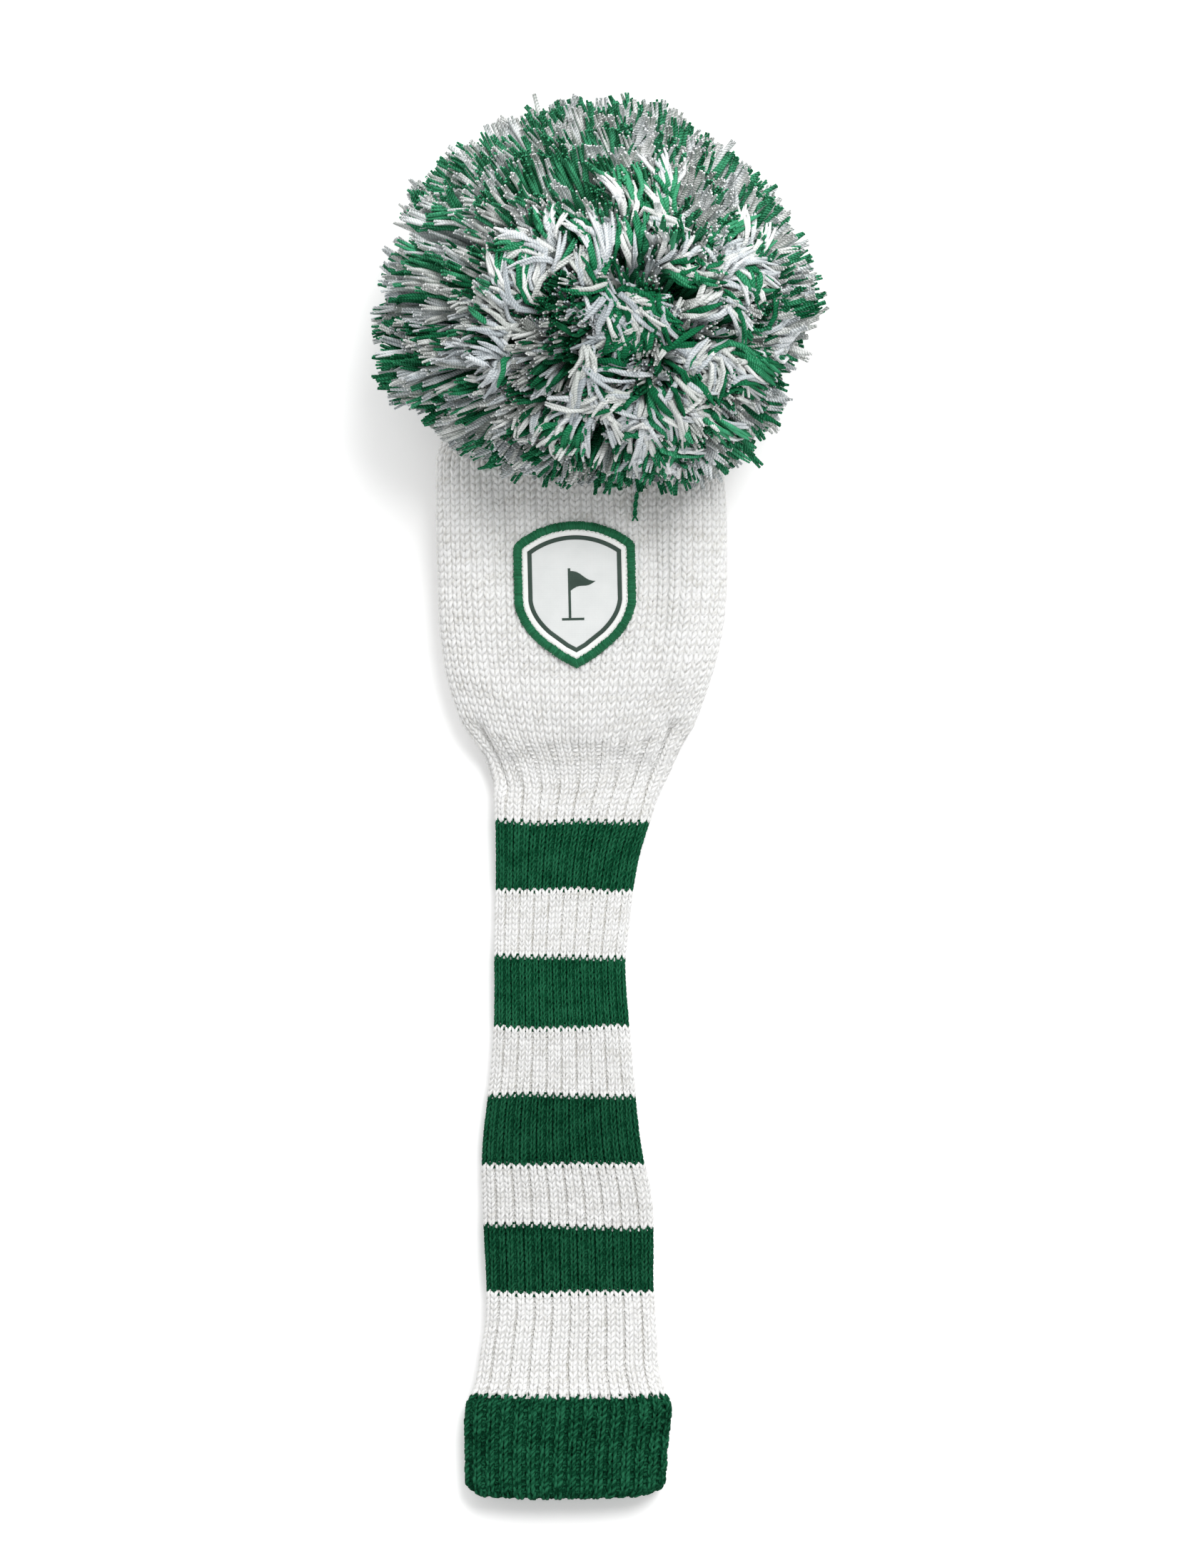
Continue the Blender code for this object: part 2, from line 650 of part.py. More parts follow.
def recess_cutter():
    """Recess the crown of the head sits in: an elliptical cone that opens towards the neck."""
    bm = bmesh.new()
    apex = bm.verts.new(TIE + Vector((0, RECESS_APEX, 0)))
    half_x = RECESS_DEPTH * math.tan(RECESS_HALF_X)
    base = []
    for t in angles(40):
        half_z = RECESS_DEPTH * math.tan(RECESS_UP if math.sin(t) > 0 else RECESS_DOWN)
        base.append(bm.verts.new(TIE + Vector((
            half_x * math.cos(t), RECESS_APEX - RECESS_DEPTH, half_z * math.sin(t)))))
    for i in range(len(base)):
        bm.faces.new((base[i], base[(i + 1) % len(base)], apex))
    bm.faces.new(base)
    return add_object(bm, "recess_cutter", "cord_green")


def tunnel_cutter():
    """Room for the anchor cord."""
    return rod("tunnel_cutter", "cord_green", TIE + POM_DIRECTION * TUNNEL_START,
               TIE + POM_DIRECTION * (POM_REACH - BINDING_R + TUNNEL_OVERLAP), TUNNEL_R, sides=14)


def groove_cutter():
    """Room for the binding cord round the yarn's waist."""
    corners = ((GROOVE_INNER_R, -GROOVE_HALF_W), (GROOVE_OUTER_R, -GROOVE_HALF_W),
               (GROOVE_OUTER_R, GROOVE_HALF_W), (GROOVE_INNER_R, GROOVE_HALF_W))
    loops = [[POM_CENTRE + around_pom(t) * radius + WINDING_AXIS * side
              for radius, side in corners] for t in angles(24)]
    return add_object(closed_ring(loops), "groove_cutter", "cord_green")


def build_yarn(root):
    """The ball of yarn, pressed flat where it rests, with its cutters."""
    bm = bmesh.new()
    bmesh.ops.create_uvsphere(bm, u_segments=36, v_segments=18, radius=1.0)
    bmesh.ops.scale(bm, vec=POM_RADII, verts=bm.verts)
    bmesh.ops.translate(bm, vec=POM_CENTRE, verts=bm.verts)
    for vert in bm.verts:
        vert.co.z = max(0.0, vert.co.z)
    resting = [face for face in bm.faces if all(vert.co.z <= 1e-6 for vert in face.verts)]
    bmesh.ops.dissolve_faces(bm, faces=resting)
    pom = add_object(bm, "pom_yarn", "pom_mixed", root, triangulate=True)

    for cutter in (recess_cutter(), tunnel_cutter(), groove_cutter()):
        cutter.hide_render = True
        cutter.display_type = "WIRE"
        cut = pom.modifiers.new("cut_" + cutter.name, "BOOLEAN")
        cut.operation = "DIFFERENCE"
        cut.object = cutter
        cut.solver = "EXACT"


def build_pom():
    ball("pom_tie_knot", "cord_green", TIE, TIE_KNOT_R, empty("tie_root", TIE))
    root = empty("pom_root", TIE)
    cord_ring("pom_binding_cord", "cord_green",
              [POM_CENTRE + BINDING_R * around_pom(t) for t in angles(24)],
              BINDING_CORD_R, root, axis=WINDING_AXIS)
    rod("pom_anchor_cord", "cord_green", TIE + POM_DIRECTION * (TIE_KNOT_R + ANCHOR_CLEAR),
        TIE + POM_DIRECTION * (POM_REACH - BINDING_R - BINDING_CORD_R - ANCHOR_CLEAR),
        ANCHOR_CORD_R, sides=12, parent=root)
    build_yarn(root)


# ---------------------------------------------------------------- build
for old in list(bpy.data.objects):
    bpy.data.objects.remove(old, do_unlink=True)

build_neck()
build_rib()
build_cuff()
head_root = empty("head_root", (0, 0, 0))
build_head(head_root)
build_badge(head_root)
build_pom()
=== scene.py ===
"""A knitted golf driver head cover: a striped neck, a jersey head with a shield badge, a folded cuff
and a three-colour pom-pom.

It lies flat on the floor with its front (the badge side) up towards +Z, its length along Y and its
left towards -X. Work happens in "cover space": millimetres, with the cuff's mouth at y = 0 and the
crown towards +Y. place() moves cover space to the part's own frame, in metres.
"""

import math
from dataclasses import dataclass
from typing import Callable

import bmesh
import bpy
import numpy as np
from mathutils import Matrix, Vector

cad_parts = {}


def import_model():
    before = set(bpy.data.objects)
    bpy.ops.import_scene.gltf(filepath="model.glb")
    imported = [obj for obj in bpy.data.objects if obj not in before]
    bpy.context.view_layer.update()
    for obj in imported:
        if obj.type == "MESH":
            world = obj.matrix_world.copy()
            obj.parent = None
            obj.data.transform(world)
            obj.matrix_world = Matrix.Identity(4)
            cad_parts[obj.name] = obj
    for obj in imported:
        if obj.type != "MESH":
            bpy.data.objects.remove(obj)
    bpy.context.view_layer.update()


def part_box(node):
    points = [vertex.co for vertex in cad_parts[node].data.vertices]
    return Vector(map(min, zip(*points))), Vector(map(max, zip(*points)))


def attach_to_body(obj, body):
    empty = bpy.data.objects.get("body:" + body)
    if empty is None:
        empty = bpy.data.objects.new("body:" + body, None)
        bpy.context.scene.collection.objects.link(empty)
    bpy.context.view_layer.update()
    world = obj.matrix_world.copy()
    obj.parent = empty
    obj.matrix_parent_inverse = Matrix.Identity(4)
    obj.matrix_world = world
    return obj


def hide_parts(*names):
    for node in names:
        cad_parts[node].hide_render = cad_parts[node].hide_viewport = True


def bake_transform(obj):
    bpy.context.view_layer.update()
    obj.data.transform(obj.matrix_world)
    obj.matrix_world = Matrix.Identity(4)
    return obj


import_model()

# ------------------------------------------------------------------ cover space and CAD lengths
# the part's origin, seen in cover space
ORIGIN = np.array([9.8, -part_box("cuff_outer")[0].y * 1000.0, 0.0])
UP = np.array([0.0, 0.0, 1.0])


def box_mm(node):
    low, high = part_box(node)
    return np.array(low) * 1000 + ORIGIN, np.array(high) * 1000 + ORIGIN


def box_centre(node):
    low, high = box_mm(node)
    return (low + high) / 2


def top_of(node):
    return box_mm(node)[1][1]


def place(points):
    return (np.asarray(points, float) - ORIGIN) * 0.001


def world(x, y, z):
    return Vector(place([x, y, z]))


BAND_LAP = 0.2          # how far a knitted band runs past its CAD piece
STRIPE_CUT = 3.3        # how far three of the green stripes stop short of theirs
CUFF_TOP = top_of("cuff_outer") + 0.4
RIB_TOP = box_mm("head_shell")[0][1]
HEAD_TOP = top_of("head_shell")
DOME_START = 350.0
TIP_RADIUS = 6.9        # of the gathered crown
TIE = box_centre("pom_tie_knot")
BINDING = box_centre("pom_binding_cord")

# y, left edge x, right edge x
OUTLINE = np.array((
    (30.0, -34.3, 34.7), (35.0, -32.9, 33.5), (38.0, -31.9, 32.5), (43.9, -30.8, 30.9),
    (52.0, -29.7, 30.5), (60.7, -28.3, 30.0), (75.2, -28.3, 29.4), (92.1, -29.2, 29.4),
    (103.0, -29.5, 28.6), (113.3, -29.9, 26.5), (124.0, -29.3, 24.8), (135.4, -27.9, 23.6),
    (147.0, -26.7, 22.5), (159.3, -25.9, 21.5), (171.0, -25.7, 20.5), (182.4, -25.7, 20.1),
    (195.0, -25.5, 21.4), (206.5, -25.2, 22.7), (218.0, -25.1, 24.8), (229.2, -25.2, 28.1),
    (236.0, -25.6, 30.2), (241.5, -25.6, 32.5), (246.5, -27.2, 35.0), (251.1, -29.0, 37.0),
    (256.0, -32.2, 39.5), (260.8, -35.4, 42.2), (265.5, -37.4, 44.3), (270.4, -39.0, 45.9),
    (280.0, -41.5, 49.0), (294.5, -43.3, 52.3), (308.0, -43.9, 53.5), (321.0, -44.3, 53.6),
    (335.0, -44.5, 53.3), (350.0, -44.5, 52.3)))
# y, height of the front above the floor
HEIGHT = np.array((
    (30.0, 18.0), (36.0, 17.6), (42.0, 16.2), (60.0, 15.2), (229.2, 15.2), (245.0, 17.5),
    (260.3, 23.0), (280.0, 30.0), (310.0, 36.5), (350.0, 40.0)))
# y, exponent of the cross-section's superellipse
SQUARENESS = np.array(((200, 2.7), (262, 2.7), (300, 2.75), (350, 2.5), (390, 2.0)))


# ------------------------------------------------------------------ curve and grid helpers
def spline(table, column, y):
    """Smooth interpolation: cubic Hermite with central slopes."""
    stations, values = table[:, 0], table[:, column]
    slopes = np.gradient(values, stations)
    y = np.clip(y, stations[0], stations[-1])
    i = np.clip(np.searchsorted(stations, y, "right") - 1, 0, len(stations) - 2)
    gap = stations[i + 1] - stations[i]
    t = (y - stations[i]) / gap
    return ((2 * t**3 - 3 * t**2 + 1) * values[i] + (t**3 - 2 * t**2 + t) * gap * slopes[i]
            + (-2 * t**3 + 3 * t**2) * values[i + 1] + (t**3 - t**2) * gap * slopes[i + 1])


def ease(t):
    return t * t * (3 - 2 * t)


def smoothstep(start, end, x):
    return ease(np.clip((np.asarray(x, float) - start) / (end - start), 0, 1))


def bump(x, centre, width):
    return np.exp(-((np.asarray(x, float) - centre) / width) ** 2)


def unit(vectors):
    return vectors / (np.linalg.norm(vectors, axis=-1, keepdims=True) + 1e-12)


def bezier(start, control, end, t):
    return (1 - t) ** 2 * start + 2 * t * (1 - t) * control + t**2 * end


def lengths_along(points):
    """Running length at each point of one or many paths (..., M, 3 or 2)."""
    steps = np.linalg.norm(np.diff(points, axis=-2), axis=-1)
    return np.concatenate([np.zeros_like(steps[..., :1]), np.cumsum(steps, -1)], -1)


def respace(points, count):
    """count evenly spaced points along an open path, without its last point."""
    length = lengths_along(points)
    at = np.linspace(0, length[-1], count + 1)[:-1]
    return np.stack([np.interp(at, length, column) for column in points.T], 1)


def lookup(grid, around, row):
    """Bilinear value of grid[row, column]; around runs 0..1 over the columns and repeats."""
    rows, columns = grid.shape[:2]
    x = (np.asarray(around) % 1.0) * columns
    i = np.floor(x).astype(int) % columns
    fx = x - np.floor(x)
    y = np.clip(row, 0, rows - 1.0001)
    j = np.floor(y).astype(int)
    fy = y - j
    if grid.ndim == 3:
        fx, fy = fx[..., None], fy[..., None]
    following = (i + 1) % columns
    low = grid[j, i] * (1 - fx) + grid[j, following] * fx
    high = grid[j + 1, i] * (1 - fx) + grid[j + 1, following] * fx
    return low * (1 - fy) + high * fy


def quads(*corners):
    return np.stack(corners, -1).reshape(-1, 4)


def ring_corners(rows, columns):
    """The four corner indices of every cell in a grid whose columns close round."""
    grid = np.arange(rows * columns).reshape(rows, columns)
    following = np.roll(grid, -1, 1)
    return grid[:-1], following[:-1], following[1:], grid[1:]


# ------------------------------------------------------------------ the cover's surface
def section(y):
    """(centre x, half width, bottom z, top z, exponent) of the cover's outside at y."""
    y = np.asarray(y, float)
    below_dome = np.minimum(y, DOME_START)
    left, right = spline(OUTLINE, 1, below_dome), spline(OUTLINE, 2, below_dome)
    half_height = spline(HEIGHT, 1, below_dome) / 2
    centre_x, half_width = (left + right) / 2, (right - left) / 2
    exponent = np.interp(y, SQUARENESS[:, 0], SQUARENESS[:, 1])
    # above the dome's start the section shrinks to the crown and moves to the tie
    u = np.clip((y - DOME_START) / (HEAD_TOP - DOME_START), 0, 1)
    grow, shift = 1 - u**1.8, ease(u)
    centre_z = half_height + (TIE[2] - half_height) * shift
    centre_x = centre_x + (TIE[0] - centre_x) * shift
    half_width = TIP_RADIUS + (half_width - TIP_RADIUS) * grow
    half_height = TIP_RADIUS + (half_height - TIP_RADIUS) * grow
    return centre_x, half_width, centre_z - half_height, centre_z + half_height, exponent


def closed_section(centre_x, half_width, bottom, top, exponent, under_bulge, count):
    """(count, 2) x and z round a superellipse cut flat at its bottom, from the left edge over
    the front, evenly spaced on each face."""
    half_height, centre_z = (top - bottom) / 2, (bottom + top) / 2
    angle = np.pi - np.linspace(0, 2 * np.pi, 2001)
    c, s = np.cos(angle), np.sin(angle)
    x = centre_x + np.sign(c) * np.abs(c) ** (2 / exponent) * half_width
    z = centre_z + (np.sign(s) * np.abs(s) ** (2 / exponent)
                    * np.where(s >= 0, half_height, half_height * under_bulge))
    points = np.stack([x, np.maximum(z, bottom)], 1)
    return np.concatenate([respace(points[:1001], count // 2),
                           respace(points[1000:], count // 2)])


def loop_at(y, inset, count):
    """One closed section of the cover at y, moved in by inset."""
    centre_x, half_width, bottom, top, exponent = (float(value) for value in section(y))
    points = closed_section(centre_x, half_width - inset, bottom + inset, top - inset, exponent,
                            under_bulge=1.10, count=count)
    return np.stack([points[:, 0], np.full(count, y), points[:, 1]], 1)


class Carrier:
    """The middle surface of the knit. s runs round it: 0 at the left edge, 0.25 up on the front,
    0.5 at the right edge, 0.75 on the underside. v runs along the fabric in millimetres."""

    AROUND = 480

    def __init__(self, loops):
        self.points = loops
        step = np.linalg.norm(np.diff(loops, axis=0), axis=2).mean(1)
        self.v = np.concatenate([[0.0], np.cumsum(step)])
        self.girth = np.linalg.norm(np.roll(loops, -1, 1) - loops, axis=2).sum(1)
        self.update_normals()

    def update_normals(self):
        around = np.roll(self.points, -1, axis=1) - np.roll(self.points, 1, axis=1)
        n = unit(np.cross(around, np.gradient(self.points, axis=0)))
        for _ in range(2):
            n = np.roll(n, 1, 1) + 2 * n + np.roll(n, -1, 1)
            n[1:-1] = n[:-2] + 2 * n[1:-1] + n[2:]
            n = unit(n)
        self.normals = n

    def row(self, v):
        return np.interp(v, self.v, np.arange(len(self.v)))

    def at(self, s, v):
        """Points and unit normals at s, v."""
        row = self.row(v)
        return lookup(self.points, s, row), unit(lookup(self.normals, s, row))


YARN_IN = 1.25          # how far the knit's middle lies inside the outline
row_y = np.concatenate([
    np.arange(34.0, DOME_START, 1.0),
    DOME_START + (HEAD_TOP - DOME_START) * (1 - (1 - np.linspace(0, 1, 60)) ** 1.35)])
body = Carrier(np.stack([loop_at(y, YARN_IN, Carrier.AROUND) for y in row_y]))


def v_of(y):
    return float(np.interp(y, row_y, body.v))


# Soft shape of the lying fabric: each bulge (+) or dent (-) is a bump about a slanting line.
# depth, line x, line slope, y where the line has that x, width across, middle y, width along
HEAD_DENTS = (
    (-4.2, 29.5, -0.05, 320, 5.5, 326, 26),      # valley right of the badge
    (-2.4, -20.5, 0.04, 320, 5.0, 322, 24),      # softer one on its left
    (0.9, 39.5, 0.02, 300, 6.5, 305, 34),
    (0.8, -32, 0, 300, 6.5, 305, 34),
    (-1.2, 20, 0.5, 285, 4.5, 288, 16),          # under the badge's right side
)
SHOULDER_DENTS = (
    (1.1, 3, 0, 272, 17, 272, 9),
    (-2.6, -33.6, 0, 259.5, 3.6, 259.5, 5.5),
    (-2.4, 36.8, 0, 258.5, 3.6, 258.5, 5.5),
)
# long gather creases in the rib's two shoulders: top x, bottom x, top y, bottom y, depth
GATHERS = (
    (-29.6, -20.2, 260.5, 239.0, 3.0), (35.2, 25.8, 261.0, 239.0, 2.7),
    (-24.0, -15.5, 257, 238, 0.9), (28.0, 21.5, 259, 240, 1.0))
grid_s, grid_y = np.meshgrid(np.arange(Carrier.AROUND) / Carrier.AROUND, row_y)


def bumps(table):
    x = body.points[:, :, 0]
    return sum(depth * bump(x, line_x + slope * (grid_y - line_y), across)
               * bump(grid_y, middle, along)
               for depth, line_x, slope, line_y, across, middle, along in table)


def soft_noise(seed, columns, rows):
    """Smooth random values over the body, from a coarse grid of normal ones."""
    values = np.random.default_rng(seed).standard_normal((rows, columns))
    column = grid_s * columns
    row = (grid_y - row_y[0]) / (row_y[-1] - row_y[0]) * (rows - 1)
    row = np.clip(row, 0, rows - 1.0001)
    i, j = np.floor(column), np.floor(row)
    return lookup(values, (i + ease(column - i)) / columns, j + ease(row - j))


def fabric_dents():
    """Height of the fabric above its plain section, along the normals."""
    x = body.points[:, :, 0]
    front = smoothstep(0.0, 0.10, grid_s) * (1 - smoothstep(0.40, 0.5, grid_s))
    on_head = smoothstep(262, 280, grid_y) * (1 - smoothstep(352, 372, grid_y))
    wavy_y = grid_y + 0.8 * np.sin(x * 0.9) + 0.0125 * (x - 2) ** 2
    rib_step = 1.25 * (1 - smoothstep(256.0, 261.5, wavy_y)) * smoothstep(232, 252, grid_y)
    height = (bumps(HEAD_DENTS) * on_head + bumps(SHOULDER_DENTS) - rib_step) * front
    height += 0.55 * soft_noise(5, 9, 14) * (0.35 + 0.65 * on_head) * front
    height += 0.30 * soft_noise(6, 24, 40) * (0.5 + 0.5 * on_head) * front
    for top_x, low_x, top_y, low_y, depth in GATHERS:
        f = np.clip((grid_y - top_y) / (low_y - top_y), 0, 1)
        height -= (depth * bump(x, top_x + (low_x - top_x) * f, 1.9 + 0.6 * (1 - f))
                   * smoothstep(low_y - 7, low_y + 7, grid_y)
                   * (1 - smoothstep(top_y - 1, top_y + 5, grid_y)) * (grid_s < 0.5))
    return height


def course_sag():
    """Shift along y: courses sag on the front where jersey meets rib, and wave slightly."""
    sag = -3.4 * np.sin(np.clip(grid_s, 0, 0.5) * 2 * np.pi) ** 1.5 * bump(grid_y, 262, 22)
    return (sag + 0.35 * soft_noise(8, 7, 30)) * smoothstep(34, 44, grid_y)


dents = fabric_dents()
body.points = body.points + body.normals * dents[..., None]
body.points[..., 1] += course_sag()
body.points[..., 2] = np.maximum(body.points[..., 2], 1.0)
body.update_normals()


# ------------------------------------------------------------------ materials
def feed(tree, node, inputs):
    """Link the sockets among the inputs and set the other values."""
    for key, value in inputs.items():
        if isinstance(value, bpy.types.NodeSocket):
            tree.links.new(value, node.inputs[key])
        else:
            node.inputs[key].default_value = value


def add_node(tree, kind, inputs=None, out=0, **properties):
    """A new node; returns one of its output sockets."""
    node = tree.nodes.new(kind)
    for key, value in properties.items():
        setattr(node, key, value)
    feed(tree, node, inputs or {})
    return node.outputs[out]


def add_math(tree, operation, *values):
    return add_node(tree, "ShaderNodeMath", dict(enumerate(values)), operation=operation)


def add_noise(tree, position, scale, detail):
    return add_node(tree, "ShaderNodeTexNoise",
                    {"Scale": scale, "Detail": detail, "Vector": position}, out="Fac")


def add_ramp(tree, value, first, last, middle=None):
    """A colour ramp; each stop is (position, colour)."""
    colour = add_node(tree, "ShaderNodeValToRGB", {0: value})
    elements = colour.node.color_ramp.elements
    for element, (position, rgb) in zip(elements, (first, last)):
        element.position = position
        element.color = (*rgb, 1)
    if middle:
        elements.new(middle[0]).color = (*middle[1], 1)
    return colour


def add_bump(tree, height, strength, distance):
    return add_node(tree, "ShaderNodeBump",
                    {"Strength": strength, "Distance": distance, "Height": height})


def new_material(name):
    material = bpy.data.materials.new(name)
    material.use_nodes = True
    tree = material.node_tree
    return material, tree, tree.nodes["Principled BSDF"]


def yarn_material(name, dark, mid, light, rough=0.92, sheen=0.35, ply=26.0, bumpy=0.6, soft=0.0,
                  gloss=0.18, dark_at=0.25):
    """Twisted yarn: ply grooves along the strand from its UVs, which also darken the colour as
    painted shade, tint by stitch, fibre noise.
    """
    material, tree, surface = new_material(name)
    uv = add_node(tree, "ShaderNodeUVMap", uv_map="yarn")
    along = add_node(tree, "ShaderNodeSeparateXYZ", {0: uv})
    around = along.node.outputs[1]
    two_plies = add_math(tree, "MULTIPLY", around, 4 * math.pi)
    groove = add_math(tree, "SINE", add_math(tree, "MULTIPLY_ADD", along, ply, two_plies))
    position = add_node(tree, "ShaderNodeTexCoord", out="Object")
    fibre = add_noise(tree, position, scale=2600.0, detail=3.0)
    blotch = add_noise(tree, position, scale=170.0, detail=2.0)
    shade = add_node(tree, "ShaderNodeAttribute", out="Fac", attribute_name="tint")
    # the ply grooves darken the colour a little: painted shade
    for source, share in ((groove, 0.16), (fibre, 0.5), (blotch, 0.5)):
        shade = add_math(tree, "MULTIPLY_ADD", source, share, shade)
    height = add_math(tree, "MULTIPLY_ADD", fibre, 0.7, groove)
    feed(tree, surface, {
        "Base Color": add_ramp(tree, shade, (dark_at, dark), (0.98, light), (0.62, mid)),
        "Normal": add_bump(tree, height, strength=bumpy, distance=0.00018),
        "Roughness": rough,
        "Specular IOR Level": gloss,
        "Sheen Weight": sheen,
        "Sheen Roughness": 0.5,
        "Sheen Tint": (*light, 1),
    })
    if soft:                                   # light seeps through the fluffy fibres
        feed(tree, surface, {
            "Subsurface Weight": soft,
            "Subsurface Radius": (1.0, 0.97, 0.92),
            "Subsurface Scale": 0.0022,
        })
    return material


def fleece_material():
    material, tree, surface = new_material("fleece")
    position = add_node(tree, "ShaderNodeTexCoord", out="Object")
    fibre = add_noise(tree, position, scale=900, detail=6)
    tufts = add_node(tree, "ShaderNodeTexVoronoi", {"Scale": 520, "Vector": position},
                     out="Distance")
    pile = add_math(tree, "ADD", fibre, tufts)
    feed(tree, surface, {
        "Base Color": add_ramp(tree, pile, (0.0, (0.52, 0.51, 0.48)), (1.0, (0.80, 0.79, 0.76))),
        "Normal": add_bump(tree, pile, strength=0.9, distance=0.0006),
        "Roughness": 1.0,
        "Sheen Weight": 0.5,
    })
    return material


def satin_material(name, base, light, rough=0.45, gloss=0.35):
    """Fine woven satin: crossed fine waves with a slight soft sheen."""
    material, tree, surface = new_material(name)
    position = add_node(tree, "ShaderNodeTexCoord", out="Object")
    threads = [add_node(tree, "ShaderNodeTexWave",
                        {"Scale": scale, "Distortion": 0.6, "Vector": position},
                        out="Fac", bands_direction=direction)
               for direction, scale in (("X", 1500.0 / 2.2), ("Y", 1500.0 / 3.0))]
    blotch = add_noise(tree, position, scale=130, detail=3)
    weave = add_math(tree, "MULTIPLY", *threads)
    shade = add_math(tree, "MULTIPLY_ADD", weave, 0.35, blotch)
    feed(tree, surface, {
        "Base Color": add_ramp(tree, shade, (0.3, base), (0.85, light)),
        "Normal": add_bump(tree, weave, strength=0.25, distance=0.0001),
        "Roughness": rough,
        "Specular IOR Level": gloss,
        "Sheen Weight": 0.2,
    })
    return material


WHITE_LOOK = dict(sheen=0.10, soft=0.4, dark_at=-0.15)
GREEN_LOOK = dict(sheen=0.02, gloss=0.05)
PALE_POM_LOOK = dict(sheen=0.15, ply=60.0, soft=0.25)
WHITE = yarn_material("yarn_white", dark=(0.52, 0.50, 0.44), mid=(0.90, 0.898, 0.88),
                      light=(0.95, 0.95, 0.94), **WHITE_LOOK)
# painted shade: darker copies of the same white and green yarns for the lower neck bands, the third
# white band darker still, standing in for less light there
WHITE_PAINTED_SHADE = yarn_material("yarn_white_painted_shade", dark=(0.45, 0.435, 0.39), mid=(0.81, 0.808, 0.792),
                          light=(0.90, 0.90, 0.89), **WHITE_LOOK)
WHITE_PAINTED_DEEP_SHADE = yarn_material("yarn_white_painted_deep_shade", dark=(0.42, 0.405, 0.364), mid=(0.74, 0.738, 0.724),
                          light=(0.84, 0.84, 0.83), **WHITE_LOOK)
GREEN = yarn_material("yarn_green", dark=(0.0006, 0.018, 0.008), mid=(0.0024, 0.054, 0.0215),
                      light=(0.016, 0.122, 0.058), **GREEN_LOOK)
GREEN_PAINTED_SHADE = yarn_material("yarn_green_painted_shade", dark=(0.0004, 0.011, 0.005),
                          mid=(0.0016, 0.040, 0.0165), light=(0.012, 0.092, 0.044), **GREEN_LOOK)
# painted shade: a darker copy of the same green yarn for the cuff
CUFF_GREEN_PAINTED_SHADE = yarn_material("yarn_green_cuff_painted_shade", dark=(0.0003, 0.008, 0.004),
                           mid=(0.0015, 0.036, 0.0148), light=(0.014, 0.112, 0.054), **GREEN_LOOK)
POM_GREEN = yarn_material("pom_green", dark=(0.003, 0.080, 0.030), mid=(0.010, 0.170, 0.068),
                          light=(0.075, 0.40, 0.210), sheen=0.06, ply=60.0, gloss=0.08)
POM_GREY = yarn_material("pom_grey", dark=(0.36, 0.405, 0.435), mid=(0.60, 0.645, 0.67),
                         light=(0.92, 0.945, 0.955), **PALE_POM_LOOK)
POM_CREAM = yarn_material("pom_cream", dark=(0.52, 0.55, 0.52), mid=(0.74, 0.765, 0.74),
                          light=(0.96, 0.965, 0.95), **PALE_POM_LOOK)
CORD = yarn_material("cord_green", dark=(0.004, 0.045, 0.02), mid=(0.01, 0.10, 0.045),
                     light=(0.03, 0.17, 0.08), ply=9.0)
THREAD = yarn_material("thread_white", dark=(0.6, 0.6, 0.58), mid=(0.78, 0.78, 0.75),
                       light=(0.88, 0.88, 0.86), ply=9.0)
FLEECE = fleece_material()
PATCH_WHITE = satin_material("patch_satin", base=(0.66, 0.68, 0.675), light=(0.74, 0.755, 0.75))
PATCH_RING = satin_material("patch_ring", base=(0.80, 0.81, 0.79), light=(0.88, 0.885, 0.87))
PATCH_DARK = satin_material("patch_print", base=(0.028, 0.052, 0.040),
                            light=(0.045, 0.075, 0.060), rough=0.6, gloss=0.25)
PATCH_BACK = satin_material("patch_back", base=(0.62, 0.63, 0.62), light=(0.72, 0.73, 0.72))
LABEL = satin_material("label_satin", base=(0.78, 0.78, 0.77), light=(0.88, 0.88, 0.87),
                       rough=0.35)
STITCH_GREEN = yarn_material("stitch_green", dark=(0.004, 0.070, 0.028),
                             mid=(0.011, 0.135, 0.056), light=(0.03, 0.21, 0.10), rough=0.6,
                             sheen=0.25, ply=1.0, bumpy=0.3)


# ------------------------------------------------------------------ mesh builders
def link_object(name, mesh, material):
    mesh.materials.append(material)
    obj = bpy.data.objects.new(name, mesh)
    bpy.context.scene.collection.objects.link(obj)
    return obj


def make_mesh(name, verts, faces, material, uvs=None, tint=None):
    """verts (n,3) in cover millimetres, faces (m,4), uvs (m,4,2), tint (n)."""
    mesh = bpy.data.meshes.new(name)
    faces = np.asarray(faces, np.int32)
    corners = faces.shape[1]
    mesh.vertices.add(len(verts))
    mesh.vertices.foreach_set("co", place(verts).astype(np.float32).ravel())
    mesh.loops.add(faces.size)
    mesh.loops.foreach_set("vertex_index", faces.ravel())
    mesh.polygons.add(len(faces))
    starts = np.arange(0, faces.size, corners, dtype=np.int32)
    mesh.polygons.foreach_set("loop_start", starts)
    mesh.polygons.foreach_set("loop_total", np.full(len(faces), corners, np.int32))
    mesh.update(calc_edges=True)
    if uvs is not None:
        layer = mesh.uv_layers.new(name="yarn")
        layer.data.foreach_set("uv", np.asarray(uvs, np.float32).ravel())
    if tint is not None:
        attribute = mesh.attributes.new("tint", "FLOAT", "POINT")
        attribute.data.foreach_set("value", np.asarray(tint, np.float32).ravel())
    mesh.polygons.foreach_set("use_smooth", np.ones(len(faces), bool))
    mesh.validate()
    return link_object(name, mesh, material)


def attach(obj, moving_body, node):
    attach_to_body(obj, moving_body)
    if node:
        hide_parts(node)


def blend(obj, first, second, first_y, second_y):
    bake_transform(obj)


